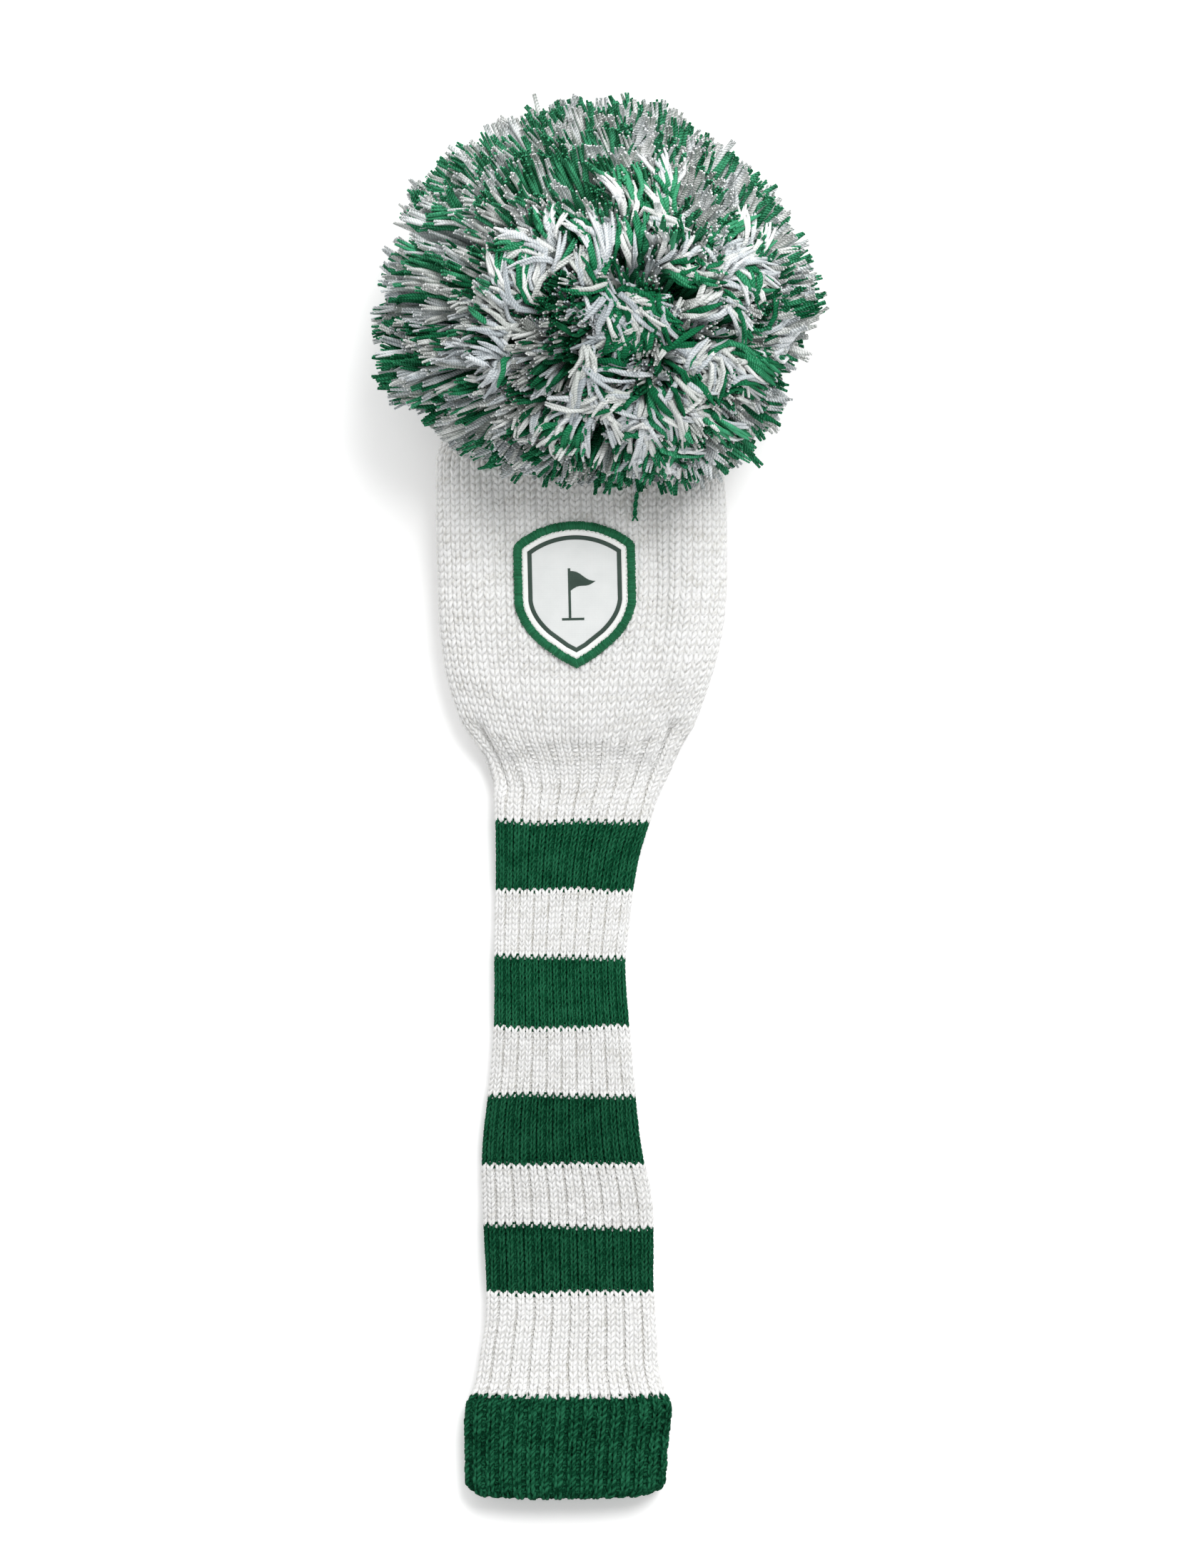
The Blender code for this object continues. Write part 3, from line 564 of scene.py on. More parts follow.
def cross_axes(paths, refs, closed):
    """Two unit vectors across each path point; the second lies closest to refs."""
    if closed:
        tangents = np.roll(paths, -1, -2) - np.roll(paths, 1, -2)
    else:
        tangents = np.gradient(paths, axis=-2)
    tangents = unit(tangents)
    side = unit(np.cross(tangents, refs))
    return side, np.cross(side, tangents)


def tubes(paths, refs, radius, sides, closed):
    """Tubes round many equal paths (J,M,3); radius is one value or fits (J,M)."""
    count, points, _ = paths.shape
    side, up = cross_axes(paths, refs, closed)
    radius = np.broadcast_to(np.asarray(radius, float), (count, points))[..., None, None]
    angle = (2 * np.pi * np.arange(sides) / sides)[None, None, :, None]
    ring = np.cos(angle) * side[:, :, None, :] + np.sin(angle) * up[:, :, None, :]
    verts = paths[:, :, None, :] + radius * ring
    i, j = np.meshgrid(np.arange(points if closed else points - 1), np.arange(sides),
                       indexing="ij")
    i_next, j_next = (i + 1) % points, (j + 1) % sides
    one = quads(i * sides + j, i_next * sides + j, i_next * sides + j_next, i * sides + j_next)
    faces = (one[None] + (np.arange(count) * points * sides)[:, None, None]).reshape(-1, 4)
    length = lengths_along(paths)
    if closed:                                 # the seam's UVs run on a little
        length = np.concatenate([length, length[:, -1:] + 0.3], 1)
    u0, u1 = length[:, i], length[:, i + 1]
    v0, v1 = np.broadcast_to(j / sides, u0.shape), np.broadcast_to((j + 1) / sides, u0.shape)
    uvs = np.stack([np.stack(pair, -1) for pair in ((u0, v0), (u1, v0), (u1, v1), (u0, v1))], -2)
    return verts.reshape(-1, 3), faces, uvs.reshape(-1, 4, 2) * [0.1, 1.0]


# ------------------------------------------------------------------ knitting
@dataclass(frozen=True)
class Stitch:
    """How a fabric is knitted. Lengths without a unit are shares of one knit wale's width."""
    rib_at: Callable            # v -> how strongly the fabric is ribbed, 0..1
    purl_share: Callable        # v -> width of a purl wale against a knit one
    wales: int = 60
    purl_every: int = 3
    loop_points: int = 12       # path points in one stitch
    sides: int = 5              # of the yarn tube
    sheet_points: int = 180     # points round the fuzz-and-shade layer
    thick: float = 0.232        # yarn radius
    close: float = 0.045        # how far the loop's legs draw together
    groove: float = 0.05        # fall of a wale towards its edges
    rib_depth: float = 0.55     # millimetres the fabric falls between ribs
    rib_sharp: float = 5.0      # how narrow that fall is
    sheet_depth: float = 0.42   # depth of the fuzz-and-shade layer, in yarn radii
    relief_tint: float = 0.0    # painted light: how much paler the yarn's crests and outward faces are
    crease_shade_tint: float = 0.0    # painted shade: how much darker the narrow purl wales are
    loose: float = 1.0          # unevenness of the stitches

    def wale_edges(self, v):
        """Wale edges at each v, as fractions of the way round."""
        width = np.ones((len(v), self.wales))
        width[:, self.purl_every - 1::self.purl_every] = self.purl_share(v)[:, None]
        edges = np.concatenate([np.zeros((len(v), 1)), np.cumsum(width, 1)], 1)
        return edges / edges[:, -1:]

    def squeeze(self, v):
        """0 where purl wales are wide, 1 where they are drawn in."""
        return np.clip((0.45 - self.purl_share(v)) / 0.28, 0, 1)


def relief(q, strength, depth, sharp):
    """Height across one rib, q from 0 to 1 over the whole group of wales."""
    return -depth * strength * np.abs(2 * np.clip(q, 0, 1) - 1) ** sharp


def stitch_loops(carrier, stitch, v_start, course, count, random):
    """Interlocked yarn loops. Returns verts, faces, UVs, tint and the mean yarn radius."""
    per_wale, wales, loose = stitch.loop_points, stitch.wales, stitch.loose
    row_v = v_start + (np.arange(count) + 0.5) * course
    turn = -np.pi + 2 * np.pi * (np.arange(per_wale) + 0.5) / per_wale
    wale = np.arange(wales)
    purl = (wale % stitch.purl_every == stitch.purl_every - 1)[None, :, None]
    ribs = stitch.rib_at(row_v)[:, None, None]
    edges = stitch.wale_edges(row_v)
    width = np.diff(edges, axis=1)
    centre = (edges[:, 1:] + edges[:, :-1]) / 2
    swing = random.standard_normal((count, wales, 1))
    stretch = random.standard_normal((count, wales, 1))
    wale_mm = (np.interp(row_v, carrier.v, carrier.girth) * width[:, 0])[:, None, None]
    radius, depth = stitch.thick * wale_mm, 0.15 * wale_mm
    off_centre = (turn / (2 * np.pi) + 0.20 * np.sin(2 * turn) * (1 + 0.08 * loose * swing)
                  - stitch.close * np.sin(turn))
    s = centre[:, :, None] + width[:, :, None] * off_centre
    v = (row_v[:, None, None]
         + 0.98 * course * np.cos(turn) * (1 + 0.04 * loose * stretch))
    sign = np.where(purl, 1 - 2 * ribs, 1.0)
    z = (-depth * np.tanh(1.7 * np.cos(2 * turn)) / math.tanh(1.7) * sign
         - stitch.groove * wale_mm * np.abs(2 * off_centre) ** 3)
    group = wale // stitch.purl_every * stitch.purl_every
    low, high = edges[:, group], edges[:, group + stitch.purl_every]
    q = (s - low[:, :, None]) / (high - low)[:, :, None]
    z = z + relief(q, ribs, stitch.rib_depth, stitch.rib_sharp)
    z = z + 0.07 * loose * random.standard_normal((count, wales, 1)) * radius
    v = v + 0.03 * course * loose * random.standard_normal((count, 1, 1))
    # painted shade in the narrow purl wales, where the rib creases
    crease_shade = stitch.crease_shade_tint * ribs * stitch.squeeze(row_v)[:, None, None]
    shade = np.where(purl, -crease_shade, np.zeros_like(s)).reshape(count, -1)
    s, v, z = (values.reshape(count, -1) for values in (s, v, z))
    points, normals = carrier.at(s, v)
    points = points + normals * z[..., None]
    uneven = 0.04 * loose * np.repeat(random.standard_normal((count, wales)), per_wale, 1)
    verts, faces, uvs = tubes(points, normals, radius[:, :, 0] * (1 + uneven), stitch.sides, True)
    by_stitch = np.repeat(random.standard_normal((count, wales)), per_wale, 1)[..., None]
    around = np.sin(2 * np.pi * np.arange(stitch.sides) / stitch.sides)
    high_up = (z / (depth[:, :, 0] + 1e-9))[..., None].clip(-1.5, 1.2)
    # painted light and shade: each yarn is paler on its outward face and where the loop rises,
    # darker where it dips
    crest_light = 0.55 * around + 0.45 * high_up
    tint = (0.10 + 0.045 * by_stitch + 0.022 * random.standard_normal((count, 1, 1))
            + stitch.relief_tint * crest_light + shade[..., None])
    return verts, faces, uvs, tint.reshape(-1), float(radius.mean())


def fuzz_and_shade_layer(carrier, stitch, v_start, v_end, count, yarn_radius, low_ends):
    """Two close sheets joined at both ends, so that no hole shows light through; their tint is
    painted shade between the loops. low_ends says whether the layer sinks at its start and at its
    end."""
    course = (v_end - v_start) / count
    rows, columns = count + 1, stitch.sheet_points
    row_v = np.linspace(v_start - 0.35 * course, v_end + 0.15 * course, rows)
    around = np.arange(columns) / columns
    points, normals = carrier.at(*np.meshgrid(around, row_v))
    edges = stitch.wale_edges(row_v)[:, ::stitch.purl_every]
    ribs = stitch.rib_at(row_v)
    crease_shade = ribs * stitch.squeeze(row_v)
    down = np.zeros((rows, columns))
    shade = np.zeros((rows, columns))
    for k in range(rows):
        group = np.clip(np.searchsorted(edges[k], around, "right") - 1, 0, edges.shape[1] - 2)
        q = (around - edges[k][group]) / (edges[k][group + 1] - edges[k][group])
        down[k] = relief(q, ribs[k], stitch.rib_depth, stitch.rib_sharp)
        # painted shade along the rib's creases
        shade[k] = relief(q, crease_shade[k], stitch.crease_shade_tint, 10.0)
    from_end = np.minimum(np.where(low_ends[0], (row_v - v_start) / course, 9.0),
                          np.where(low_ends[1], (v_end - row_v) / course, 9.0))
    depth = stitch.sheet_depth
    if depth < 0.5:
        near_end = 1 - smoothstep(0.6, 2.2, from_end)
    else:
        near_end = np.zeros(rows)
    under = yarn_radius * (depth + (0.55 - depth) * near_end)[:, None]
    upper = points + normals * (down - under)[..., None]
    lower = points + normals * (down - under - 0.35)[..., None]
    a, b, c, d = ring_corners(rows, columns)
    n = rows * columns
    faces = np.concatenate([
        quads(a, d, c, b),
        quads(a, b, c, d) + n,
        quads(a[0], b[0], b[0] + n, a[0] + n),
        quads(d[-1] + n, c[-1] + n, c[-1], d[-1])])
    verts = np.concatenate([upper.reshape(-1, 3), lower.reshape(-1, 3)])
    # painted shade: the layer is darker the paler the crests are painted
    return verts, faces, np.tile(0.06 - 1.4 * stitch.relief_tint + shade.reshape(-1), 2)


def knit(name, carrier, stitch, material, v_start, v_end, count, seed, low_ends=(False, False)):
    """count courses of loops between two v on the carrier, over a thin layer of their fuzz that
    carries painted shade.
    """
    random = np.random.default_rng(1000 + seed)
    course = (v_end - v_start) / count
    verts, faces, uvs, tint, yarn_radius = stitch_loops(
        carrier, stitch, v_start, course, count, random)
    sheet_verts, sheet_faces, sheet_shade_tint = fuzz_and_shade_layer(
        carrier, stitch, v_start, v_end, count, yarn_radius, low_ends)
    sheet_uvs = np.zeros((len(sheet_faces), 4, 2)) + [0.0, 0.1]
    return make_mesh(name, np.concatenate([verts, sheet_verts]),
                     np.concatenate([faces, sheet_faces + len(verts)]), material,
                     np.concatenate([uvs, sheet_uvs]), np.concatenate([tint, sheet_shade_tint]))


def courses(length, spacing):
    return max(2, int(round(length / spacing)))


def body_ribs(v):
    return 1 - smoothstep(v_of(254.0), v_of(262.5), v)


def body_purl_share(v):
    return 0.16 + 0.84 * smoothstep(v_of(238.0), v_of(262.5), v) ** 0.8


# ------------------------------------------------------------------ neck, rib and head
NECK_COURSE = 1.95
HEAD_COURSE = 2.48
RIB_SPLIT = 245.0
WHITE_STITCH = Stitch(body_ribs, body_purl_share, thick=0.250, close=0.062, sheet_depth=-0.50,
                      groove=0.02, rib_depth=1.4, rib_sharp=11.0, relief_tint=0.03,
                      crease_shade_tint=0.24)
GREEN_STITCH = Stitch(body_ribs, body_purl_share, thick=0.205, close=0.045, sheet_depth=0.95,
                      groove=0.08, rib_depth=0.65, rib_sharp=6.0, relief_tint=0.26)
# joints between moving bodies: upper body, lower body, y at the upper end, y at the lower end
CUFF_JOINT = ("neck_4", "cuff", 66.0, 37.0)
JOINT_3_4 = ("neck_3", "neck_4", 100.0, 72.5)
JOINT_2_3 = ("neck_2", "neck_3", 151.0, 122.0)
JOINT_1_2 = ("neck_1", "neck_2", 190.5, 163.3)
RIB_JOINT = ("neck_rib", "neck_1", 238.0, 209.5)
HEAD_JOINT = ("head", "neck_rib", 274.0, 249.0)
# from the cuff up: name, CAD node, top y, yarn, joint
BANDS = (
    ("knit_neck_white_4", "neck_band_white_4", top_of("neck_band_white_4") + BAND_LAP,
     WHITE_PAINTED_SHADE, CUFF_JOINT),
    ("knit_neck_green_4", "neck_stripe_green_4", top_of("neck_stripe_green_4") - STRIPE_CUT,
     GREEN_PAINTED_SHADE, JOINT_3_4),
    ("knit_neck_white_3", "neck_band_white_3", top_of("neck_band_white_3") + BAND_LAP,
     WHITE_PAINTED_DEEP_SHADE, JOINT_3_4),
    ("knit_neck_green_3", "neck_stripe_green_3", top_of("neck_stripe_green_3") + BAND_LAP,
     GREEN_PAINTED_SHADE, JOINT_2_3),
    ("knit_neck_white_2", "neck_band_white_2", top_of("neck_band_white_2") + BAND_LAP,
     WHITE_PAINTED_SHADE, JOINT_2_3),
    ("knit_neck_green_2", "neck_stripe_green_2", top_of("neck_stripe_green_2") - STRIPE_CUT,
     GREEN, JOINT_1_2),
    ("knit_neck_white_1", "neck_band_white_1", top_of("neck_band_white_1") + BAND_LAP,
     WHITE, JOINT_1_2),
    ("knit_neck_green_1", "neck_stripe_green_1", top_of("neck_stripe_green_1") - STRIPE_CUT,
     GREEN, RIB_JOINT),
    ("knit_rib_lower", "neck_rib_white", RIB_SPLIT, WHITE, RIB_JOINT),
    ("knit_rib_upper", "neck_rib_white", RIB_TOP, WHITE, HEAD_JOINT),
)


def build_bands():
    low_y = CUFF_TOP
    for seed, (name, node, high_y, yarn, joint) in enumerate(BANDS):
        green = yarn in (GREEN, GREEN_PAINTED_SHADE)
        v_start, v_end = v_of(low_y), v_of(high_y)
        obj = knit(name, body, GREEN_STITCH if green else WHITE_STITCH, yarn, v_start, v_end,
                   courses(v_end - v_start, NECK_COURSE), seed,
                   low_ends=(name != "knit_rib_upper", not name.startswith("knit_rib")))
        blend(obj, *joint)
        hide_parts(node)
        low_y = high_y


def build_head():
    """Plain jersey in three pieces from the rib to the crown."""
    v_rib = v_of(RIB_TOP)
    length = float(body.v[-1]) - v_rib
    count = courses(length, HEAD_COURSE)
    cuts = [0, int(count * 0.34), int(count * 0.67), count]
    for k, (first, last) in enumerate(zip(cuts, cuts[1:])):
        obj = knit(f"knit_head_{k + 1}", body, WHITE_STITCH, WHITE,
                   v_rib + length * first / count, v_rib + length * last / count,
                   last - first, seed=40 + k)
        if k == 0:
            blend(obj, *HEAD_JOINT)
        else:
            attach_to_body(obj, "head")
        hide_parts("head_shell")


build_bands()
build_head()

# ------------------------------------------------------------------ cuff, folded double
CUFF_LEFT, CUFF_RIGHT, CUFF_HEIGHT = -35.0, 33.2, 18.6
CUFF_ROWS_TOP = CUFF_TOP + 0.6
FOLD_START = 3.2        # y where the outer layer begins to turn in
FOLD_DEPTH = 2.0        # how far the fold reaches below it
OUTER_INSET, FOLD_RADIUS = 1.35, 1.75
CUFF_COURSE = 2.2


def cuff_path():
    """(y, inset) from the top of the outer layer, round the fold, up the inner layer."""
    path = [(y, OUTER_INSET + 1.9 * float(smoothstep(31.0, 37.0, y)))
            for y in np.linspace(CUFF_ROWS_TOP, FOLD_START, 34)]
    path += [(FOLD_START - FOLD_DEPTH * np.sin(angle),
              OUTER_INSET + FOLD_RADIUS * (1 - np.cos(angle)))
             for angle in np.pi * np.arange(1, 9) / 8]
    path += [(y, OUTER_INSET + 2 * FOLD_RADIUS) for y in np.linspace(3.6, 28.5, 26)[1:]]
    return path


def cuff_loop(y, inset):
    u = np.clip(y / CUFF_TOP, 0, 1)
    left = CUFF_LEFT - 0.5 * np.sin(np.pi * u) + 0.1 * u**6 + 0.1 * (1 - u) ** 5
    right = (CUFF_RIGHT + 0.7 * np.sin(np.pi * u) + 2.2 * smoothstep(12.0, 34.0, y)
             - 0.2 * (1 - u) ** 5)
    centre_x, half_width = (left + right) / 2, (right - left) / 2 - inset
    x, z = closed_section(centre_x, half_width, inset, CUFF_HEIGHT - inset, exponent=2.9,
                          under_bulge=1.08, count=Carrier.AROUND).T
    # the mouth curves up towards both edges, a little more on the right
    edge = np.clip(np.abs(x - centre_x) / (half_width + 0.01), 0, 1)
    lift = 2.3 * edge**14 + 0.9 * edge**2 + 0.5 * np.clip((x - 4) / 28, 0, 1)
    return np.stack([x, y + lift * (1 - u) ** 1.2, z], 1)


# rows are turned round so that v grows towards the crown on the outer layer
cuff = Carrier(np.stack([cuff_loop(y, inset) for y, inset in cuff_path()])[::-1].copy())
cuff.girth = cuff.girth[::-1]           # girths stay in the order of cuff_path
cuff_end = float(cuff.v[-1])
v_fold = cuff_end - (CUFF_ROWS_TOP - (FOLD_START - FOLD_DEPTH))


def cuff_stitch(**settings):
    return Stitch(rib_at=lambda v: np.full(len(v), 1.0), purl_share=lambda v: np.full(len(v), 0.20),
                  wales=64, purl_every=2, **settings)


OUTER_STITCH = cuff_stitch(thick=0.222, rib_depth=0.95, rib_sharp=3.6, groove=0.07,
                           sheet_depth=0.95, sides=6, loose=2.2, sheet_points=192,
                           relief_tint=0.22)
HEM_STITCH = cuff_stitch(thick=0.235, rib_depth=0.5, rib_sharp=4.0, loop_points=10,
                         sheet_points=128)
obj = knit("knit_cuff_outer", cuff, OUTER_STITCH, CUFF_GREEN_PAINTED_SHADE, v_fold - 1.0, cuff_end - 0.6,
           courses(cuff_end - v_fold, CUFF_COURSE), seed=60)
attach(obj, "cuff", "cuff_outer")
obj = knit("knit_cuff_hem", cuff, HEM_STITCH, CUFF_GREEN_PAINTED_SHADE, 0.4, v_fold - 1.0,
           courses(v_fold, CUFF_COURSE), seed=61)
attach(obj, "cuff", "cuff_turned_hem")


# ------------------------------------------------------------------ cords, knots, stitching
def ply_cord(name, path, radius, moving_body, node, turns, material=CORD,
             closed=True, ref=(0, 1, 0)):
    """A cord laid from three plies along a path (M,3)."""
    side, up = cross_axes(path, np.asarray(ref, float), closed)
    count = len(path)
    plies = []
    for k in range(3):
        phase = (2 * np.pi * (k / 3 + turns * np.arange(count) / count))[:, None]
        plies.append(path + radius * 0.5 * (np.cos(phase) * side + np.sin(phase) * up))
    verts, faces, uvs = tubes(np.stack(plies), up, radius * 0.55, 6, closed)
    obj = make_mesh(name, verts, faces, material, uvs, np.full(len(verts), 0.1))
    attach(obj, moving_body, node)


def running_stitches(name, path, normals, length, gap, radius, material, moving_body, node):
    """Separate stitches lying on a closed path."""
    path = np.concatenate([path, path[:1]])
    normals = np.concatenate([normals, normals[:1]])
    along = lengths_along(path)
    count = int(along[-1] // (length + gap))
    pitch = along[-1] / count
    t = np.linspace(0, 1, 7)
    at = np.arange(count)[:, None] * pitch + t * (pitch - gap)
    points, ups = (np.stack([np.interp(at, along, column) for column in values.T], -1)
                   for values in (path, normals))
    points = points + ups * (np.sin(np.pi * t)[:, None] * radius * 1.1 - radius * 0.8)
    radii = radius * (0.45 + 0.55 * np.sin(np.pi * np.clip(t, 0.08, 0.92)))
    verts, faces, uvs = tubes(points, ups, radii, 6, False)
    obj = make_mesh(name, verts, faces, material, uvs, np.full(len(verts), 0.1))
    attach(obj, moving_body, node)


def knot(name, centre, size, moving_body, node):
    """A trefoil of cord wound over itself into a small ball."""
    t = np.linspace(0, 2 * np.pi, 121)[:-1]
    trefoil = np.stack([np.sin(t) + 2 * np.sin(2 * t), np.cos(t) - 2 * np.cos(2 * t),
                        -np.sin(3 * t) * 1.5], 1)
    ply_cord(name, centre + trefoil / 3.0 * (size * 0.62), size * 0.36, moving_body, node,
             turns=7, ref=(0.3, 0.2, 0.9))


GATHER_RADIUS = 5.7
BINDING_RADIUS = 9.2
ANCHOR_START = 3.6      # distance from the tie's centre
ANCHOR_GAP = 1.7        # left between the anchor cord and the binding's middle line

ring_angle = np.linspace(0, 2 * np.pi, 97)[:-1]
ring_cos, ring_sin = np.cos(ring_angle), np.sin(ring_angle)
gather = np.stack([GATHER_RADIUS * ring_cos, -0.8 + 0.25 * np.sin(9 * ring_angle),
                   GATHER_RADIUS * ring_sin], 1)
ply_cord("crown_gather_yarn_plies", TIE + gather, 0.95, "head", "crown_gather_yarn", turns=9,
         material=THREAD)

# the binding's ring stands in the plane through the tie and the floor's normal
reach = np.linalg.norm(BINDING - TIE)
to_binding = (BINDING - TIE) / reach
binding_axis = unit(np.cross(to_binding, UP))
across = np.cross(binding_axis, to_binding)
binding_ring = BINDING + BINDING_RADIUS * (ring_cos[:, None] * to_binding
                                           + ring_sin[:, None] * across)
ply_cord("pom_binding_cord_plies", binding_ring, 1.35, "pom", "pom_binding_cord", turns=11,
         ref=binding_axis)
anchor_length = reach - BINDING_RADIUS - ANCHOR_GAP - ANCHOR_START
anchor_at = ANCHOR_START + np.linspace(0, 1, 24)[:, None] * anchor_length
ply_cord("pom_anchor_cord_plies", TIE + to_binding * anchor_at, 1.5, "pom", "pom_anchor_cord",
         turns=3, closed=False)
knot("pom_tie_knot_plies", TIE, 3.2, "pom_tie", "pom_tie_knot")
knot("crown_inner_knot_plies", box_centre("crown_inner_knot"), 4.0, "head", "crown_inner_knot")

hem_points, hem_normals = cuff.at(np.arange(160) / 160.0, np.full(160, 1.4))
running_stitches("cuff_hem_stitch_row", hem_points + hem_normals, hem_normals, length=2.6,
                 gap=0.9, radius=0.62, material=CORD, moving_body="cuff",
                 node="cuff_hem_stitching")

# ------------------------------------------------------------------ lining and its seam
LINING_INSET = 3.6
LINING_THICK = 1.6
LINING_AROUND = 240
LINING_DOME = 352.0     # y where the rows start to crowd towards the crown


def build_lining():
    low, high = box_mm("head_lining")
    lining_y = np.concatenate([
        np.arange(low[1], LINING_DOME, 1.6),
        LINING_DOME + 21.0 * (1 - (1 - np.linspace(0, 1, 22)) ** 1.3)])
    s = np.arange(LINING_AROUND) / LINING_AROUND
    loops = []
    for y in lining_y:
        ring = loop_at(min(y, high[1] - 2.0), LINING_INSET, LINING_AROUND)
        row = np.full(LINING_AROUND, body.row(v_of(y)))
        sunk = np.minimum(lookup(dents, s, row), 0.0)   # follows the knit's dents on the front
        ring[:, 2] += np.where(s < 0.5, sunk * 1.1, 0.0)
        loops.append(ring)
    loops = np.stack(loops)
    centres = loops.mean(1, keepdims=True)
    shrink = 1 - 0.94 * smoothstep(358, 373, lining_y) ** 2.2
    loops = centres + (loops - centres) * shrink[:, None, None]
    normals = Carrier(loops).normals
    fuzz = 0.28 * np.random.default_rng(20261).standard_normal(loops.shape[:2])
    outer = loops + normals * np.clip(fuzz, -0.5, 0.5)[..., None]
    inner = loops - normals * (LINING_THICK + np.abs(fuzz))[..., None]
    a, b, c, d = ring_corners(*loops.shape[:2])
    n = fuzz.size
    faces = np.concatenate([
        quads(a, b, c, d),
        quads(d, c, b, a) + n,
        quads(a[0] + n, b[0] + n, b[0], a[0]),
        quads(d[-1], c[-1], c[-1] + n, d[-1] + n)])
    verts = np.concatenate([outer.reshape(-1, 3), inner.reshape(-1, 3)])
    obj = make_mesh("lining_fleece", verts, faces, FLEECE)
    attach(obj, "head", "head_lining")


build_lining()
seam = loop_at(273.6, 4.0, LINING_AROUND)
seam_normals = unit((seam - seam.mean(0)) * [1, 0, 1])
running_stitches("lining_seam_stitch_row", seam, seam_normals, length=3.0, gap=1.1, radius=0.6,
                 material=THREAD, moving_body="head", node="lining_seam_stitching")


# ------------------------------------------------------------------ care label, blank
def build_label():
    low, high = box_mm("care_label")
    nx, ny, half_thick = 26, 34, 0.14
    x, y = np.meshgrid(np.linspace(low[0], high[0], nx), np.linspace(low[1], high[1], ny),
                       indexing="ij")
    z = ((low[2] + high[2]) / 2 + 0.54 * np.sin((x - low[0]) / (high[0] - low[0]) * np.pi)
         + 0.25 * np.sin(y * 0.45))
    verts = np.concatenate([np.stack([x, y, z + offset], -1).reshape(-1, 3)
                            for offset in (half_thick, -half_thick)])
    grid = np.arange(nx * ny).reshape(nx, ny)
    n = nx * ny
    top = quads(grid[:-1, :-1], grid[1:, :-1], grid[1:, 1:], grid[:-1, 1:])
    edge = np.concatenate([grid[:, 0], grid[-1, 1:], grid[::-1, -1][1:], grid[0, ::-1][1:-1]])
    following = np.roll(edge, -1)
    rim = quads(edge, edge + n, following + n, following)
    obj = make_mesh("care_label_ribbon", verts, np.concatenate([top, top[:, ::-1] + n, rim]),
                    LABEL)
    attach(obj, "cuff", "care_label")


build_label()

# ------------------------------------------------------------------ badge
BADGE_X, BADGE_Y = 2.4, 305.6
BADGE_TILT = math.radians(1.3)
BADGE_LIFT = 1.75       # its base surface above the knit's middle
HALF_WIDTH, HALF_HEIGHT = 20.4, 24.6
BORDER_WIDTH, RING_WIDTH, LINE_WIDTH = 2.75, 1.85, 1.45
SURFACE_SCALE = 20      # millimetres per unit in the fitted surface


def shield(count=400):
    """Outline of the badge, anticlockwise from the top right corner, evenly spaced."""
    w, h = HALF_WIDTH, HALF_HEIGHT
    rise, half = 6.7, w - 1.1                  # of the arc along the top
    radius = (half**2 + rise**2) / (2 * rise)
    angle = np.linspace(-1, 1, 41) * math.asin(half / radius)
    top = np.stack([-radius * np.sin(angle), h - radius + radius * np.cos(angle)], 1)
    corner = bezier(np.array([-half, h - rise]), np.array([-w + 0.1, h - rise - 0.9]),
                    np.array([-w, h - 9.6]), np.arange(1, 9)[:, None] / 9)
    flank = bezier(np.array([-w, -2.0]), np.array([-w + 0.7, -9.8]),
                   np.array([-w + 8.2, -16.6]), np.arange(1, 16)[:, None] / 16)
    left = np.concatenate([
        corner, [(-w, h - 9.6), (-w, 5.0), (-w, -2.0)],
        flank, [(-w + 8.2, -16.6), (-w + 14.5, -21.4), (-1.2, -h + 0.55)]])
    outline = np.concatenate([top, left, [(0.0, -h)], left[::-1] * [-1, 1], top[:1]])
    return respace(outline, count)


def move_in(outline, distance):
    """Outline moved inwards by distance (one value, or one per point)."""
    along = unit(np.roll(outline, -3, 0) - np.roll(outline, 3, 0))
    inward = np.stack([-along[:, 1], along[:, 0]], 1)
    moved = outline + inward * np.asarray(distance, float).reshape(-1, 1)
    x, new_x = outline[:, 0], moved[:, 0]
    crossed = (outline[:, 1] < -5) & (((x > 0) & (new_x < 0)) | ((x < 0) & (new_x > 0))
                                      | (np.abs(x) < 1e-6))
    if crossed.any():                          # nothing passes the middle line at the point
        moved[crossed] = [0.0, moved[~crossed][:, 1].min() - 0.02]
    return moved


def surface_terms(x, y):
    x, y = (x - BADGE_X) / SURFACE_SCALE, (y - BADGE_Y) / SURFACE_SCALE
    return np.stack([np.ones_like(x), x, y, x * x, x * y, y * y], -1)


def fit_badge_surface():
    """The stiff badge is a quadratic surface laid on the knit's front."""
    v, s = np.meshgrid(np.linspace(v_of(281), v_of(332), 30), np.linspace(0.03, 0.47, 60),
                       indexing="ij")
    points, _ = body.at(s, v)
    keep = ((np.abs(points[..., 0] - BADGE_X) < HALF_WIDTH)
            & (np.abs(points[..., 1] - BADGE_Y) < HALF_HEIGHT))
    x, y, z = points[keep].T
    return np.linalg.lstsq(surface_terms(x, y), z, rcond=None)[0]


badge_surface = fit_badge_surface()


def on_front(points, height):
    """Badge points (n,2) to cover space, height above the badge's base surface."""
    c, s = math.cos(BADGE_TILT), math.sin(BADGE_TILT)
    x = BADGE_X + points[:, 0] * c - points[:, 1] * s
    y = BADGE_Y + points[:, 0] * s + points[:, 1] * c
    return np.stack([x, y, surface_terms(x, y) @ badge_surface + BADGE_LIFT + height], 1)


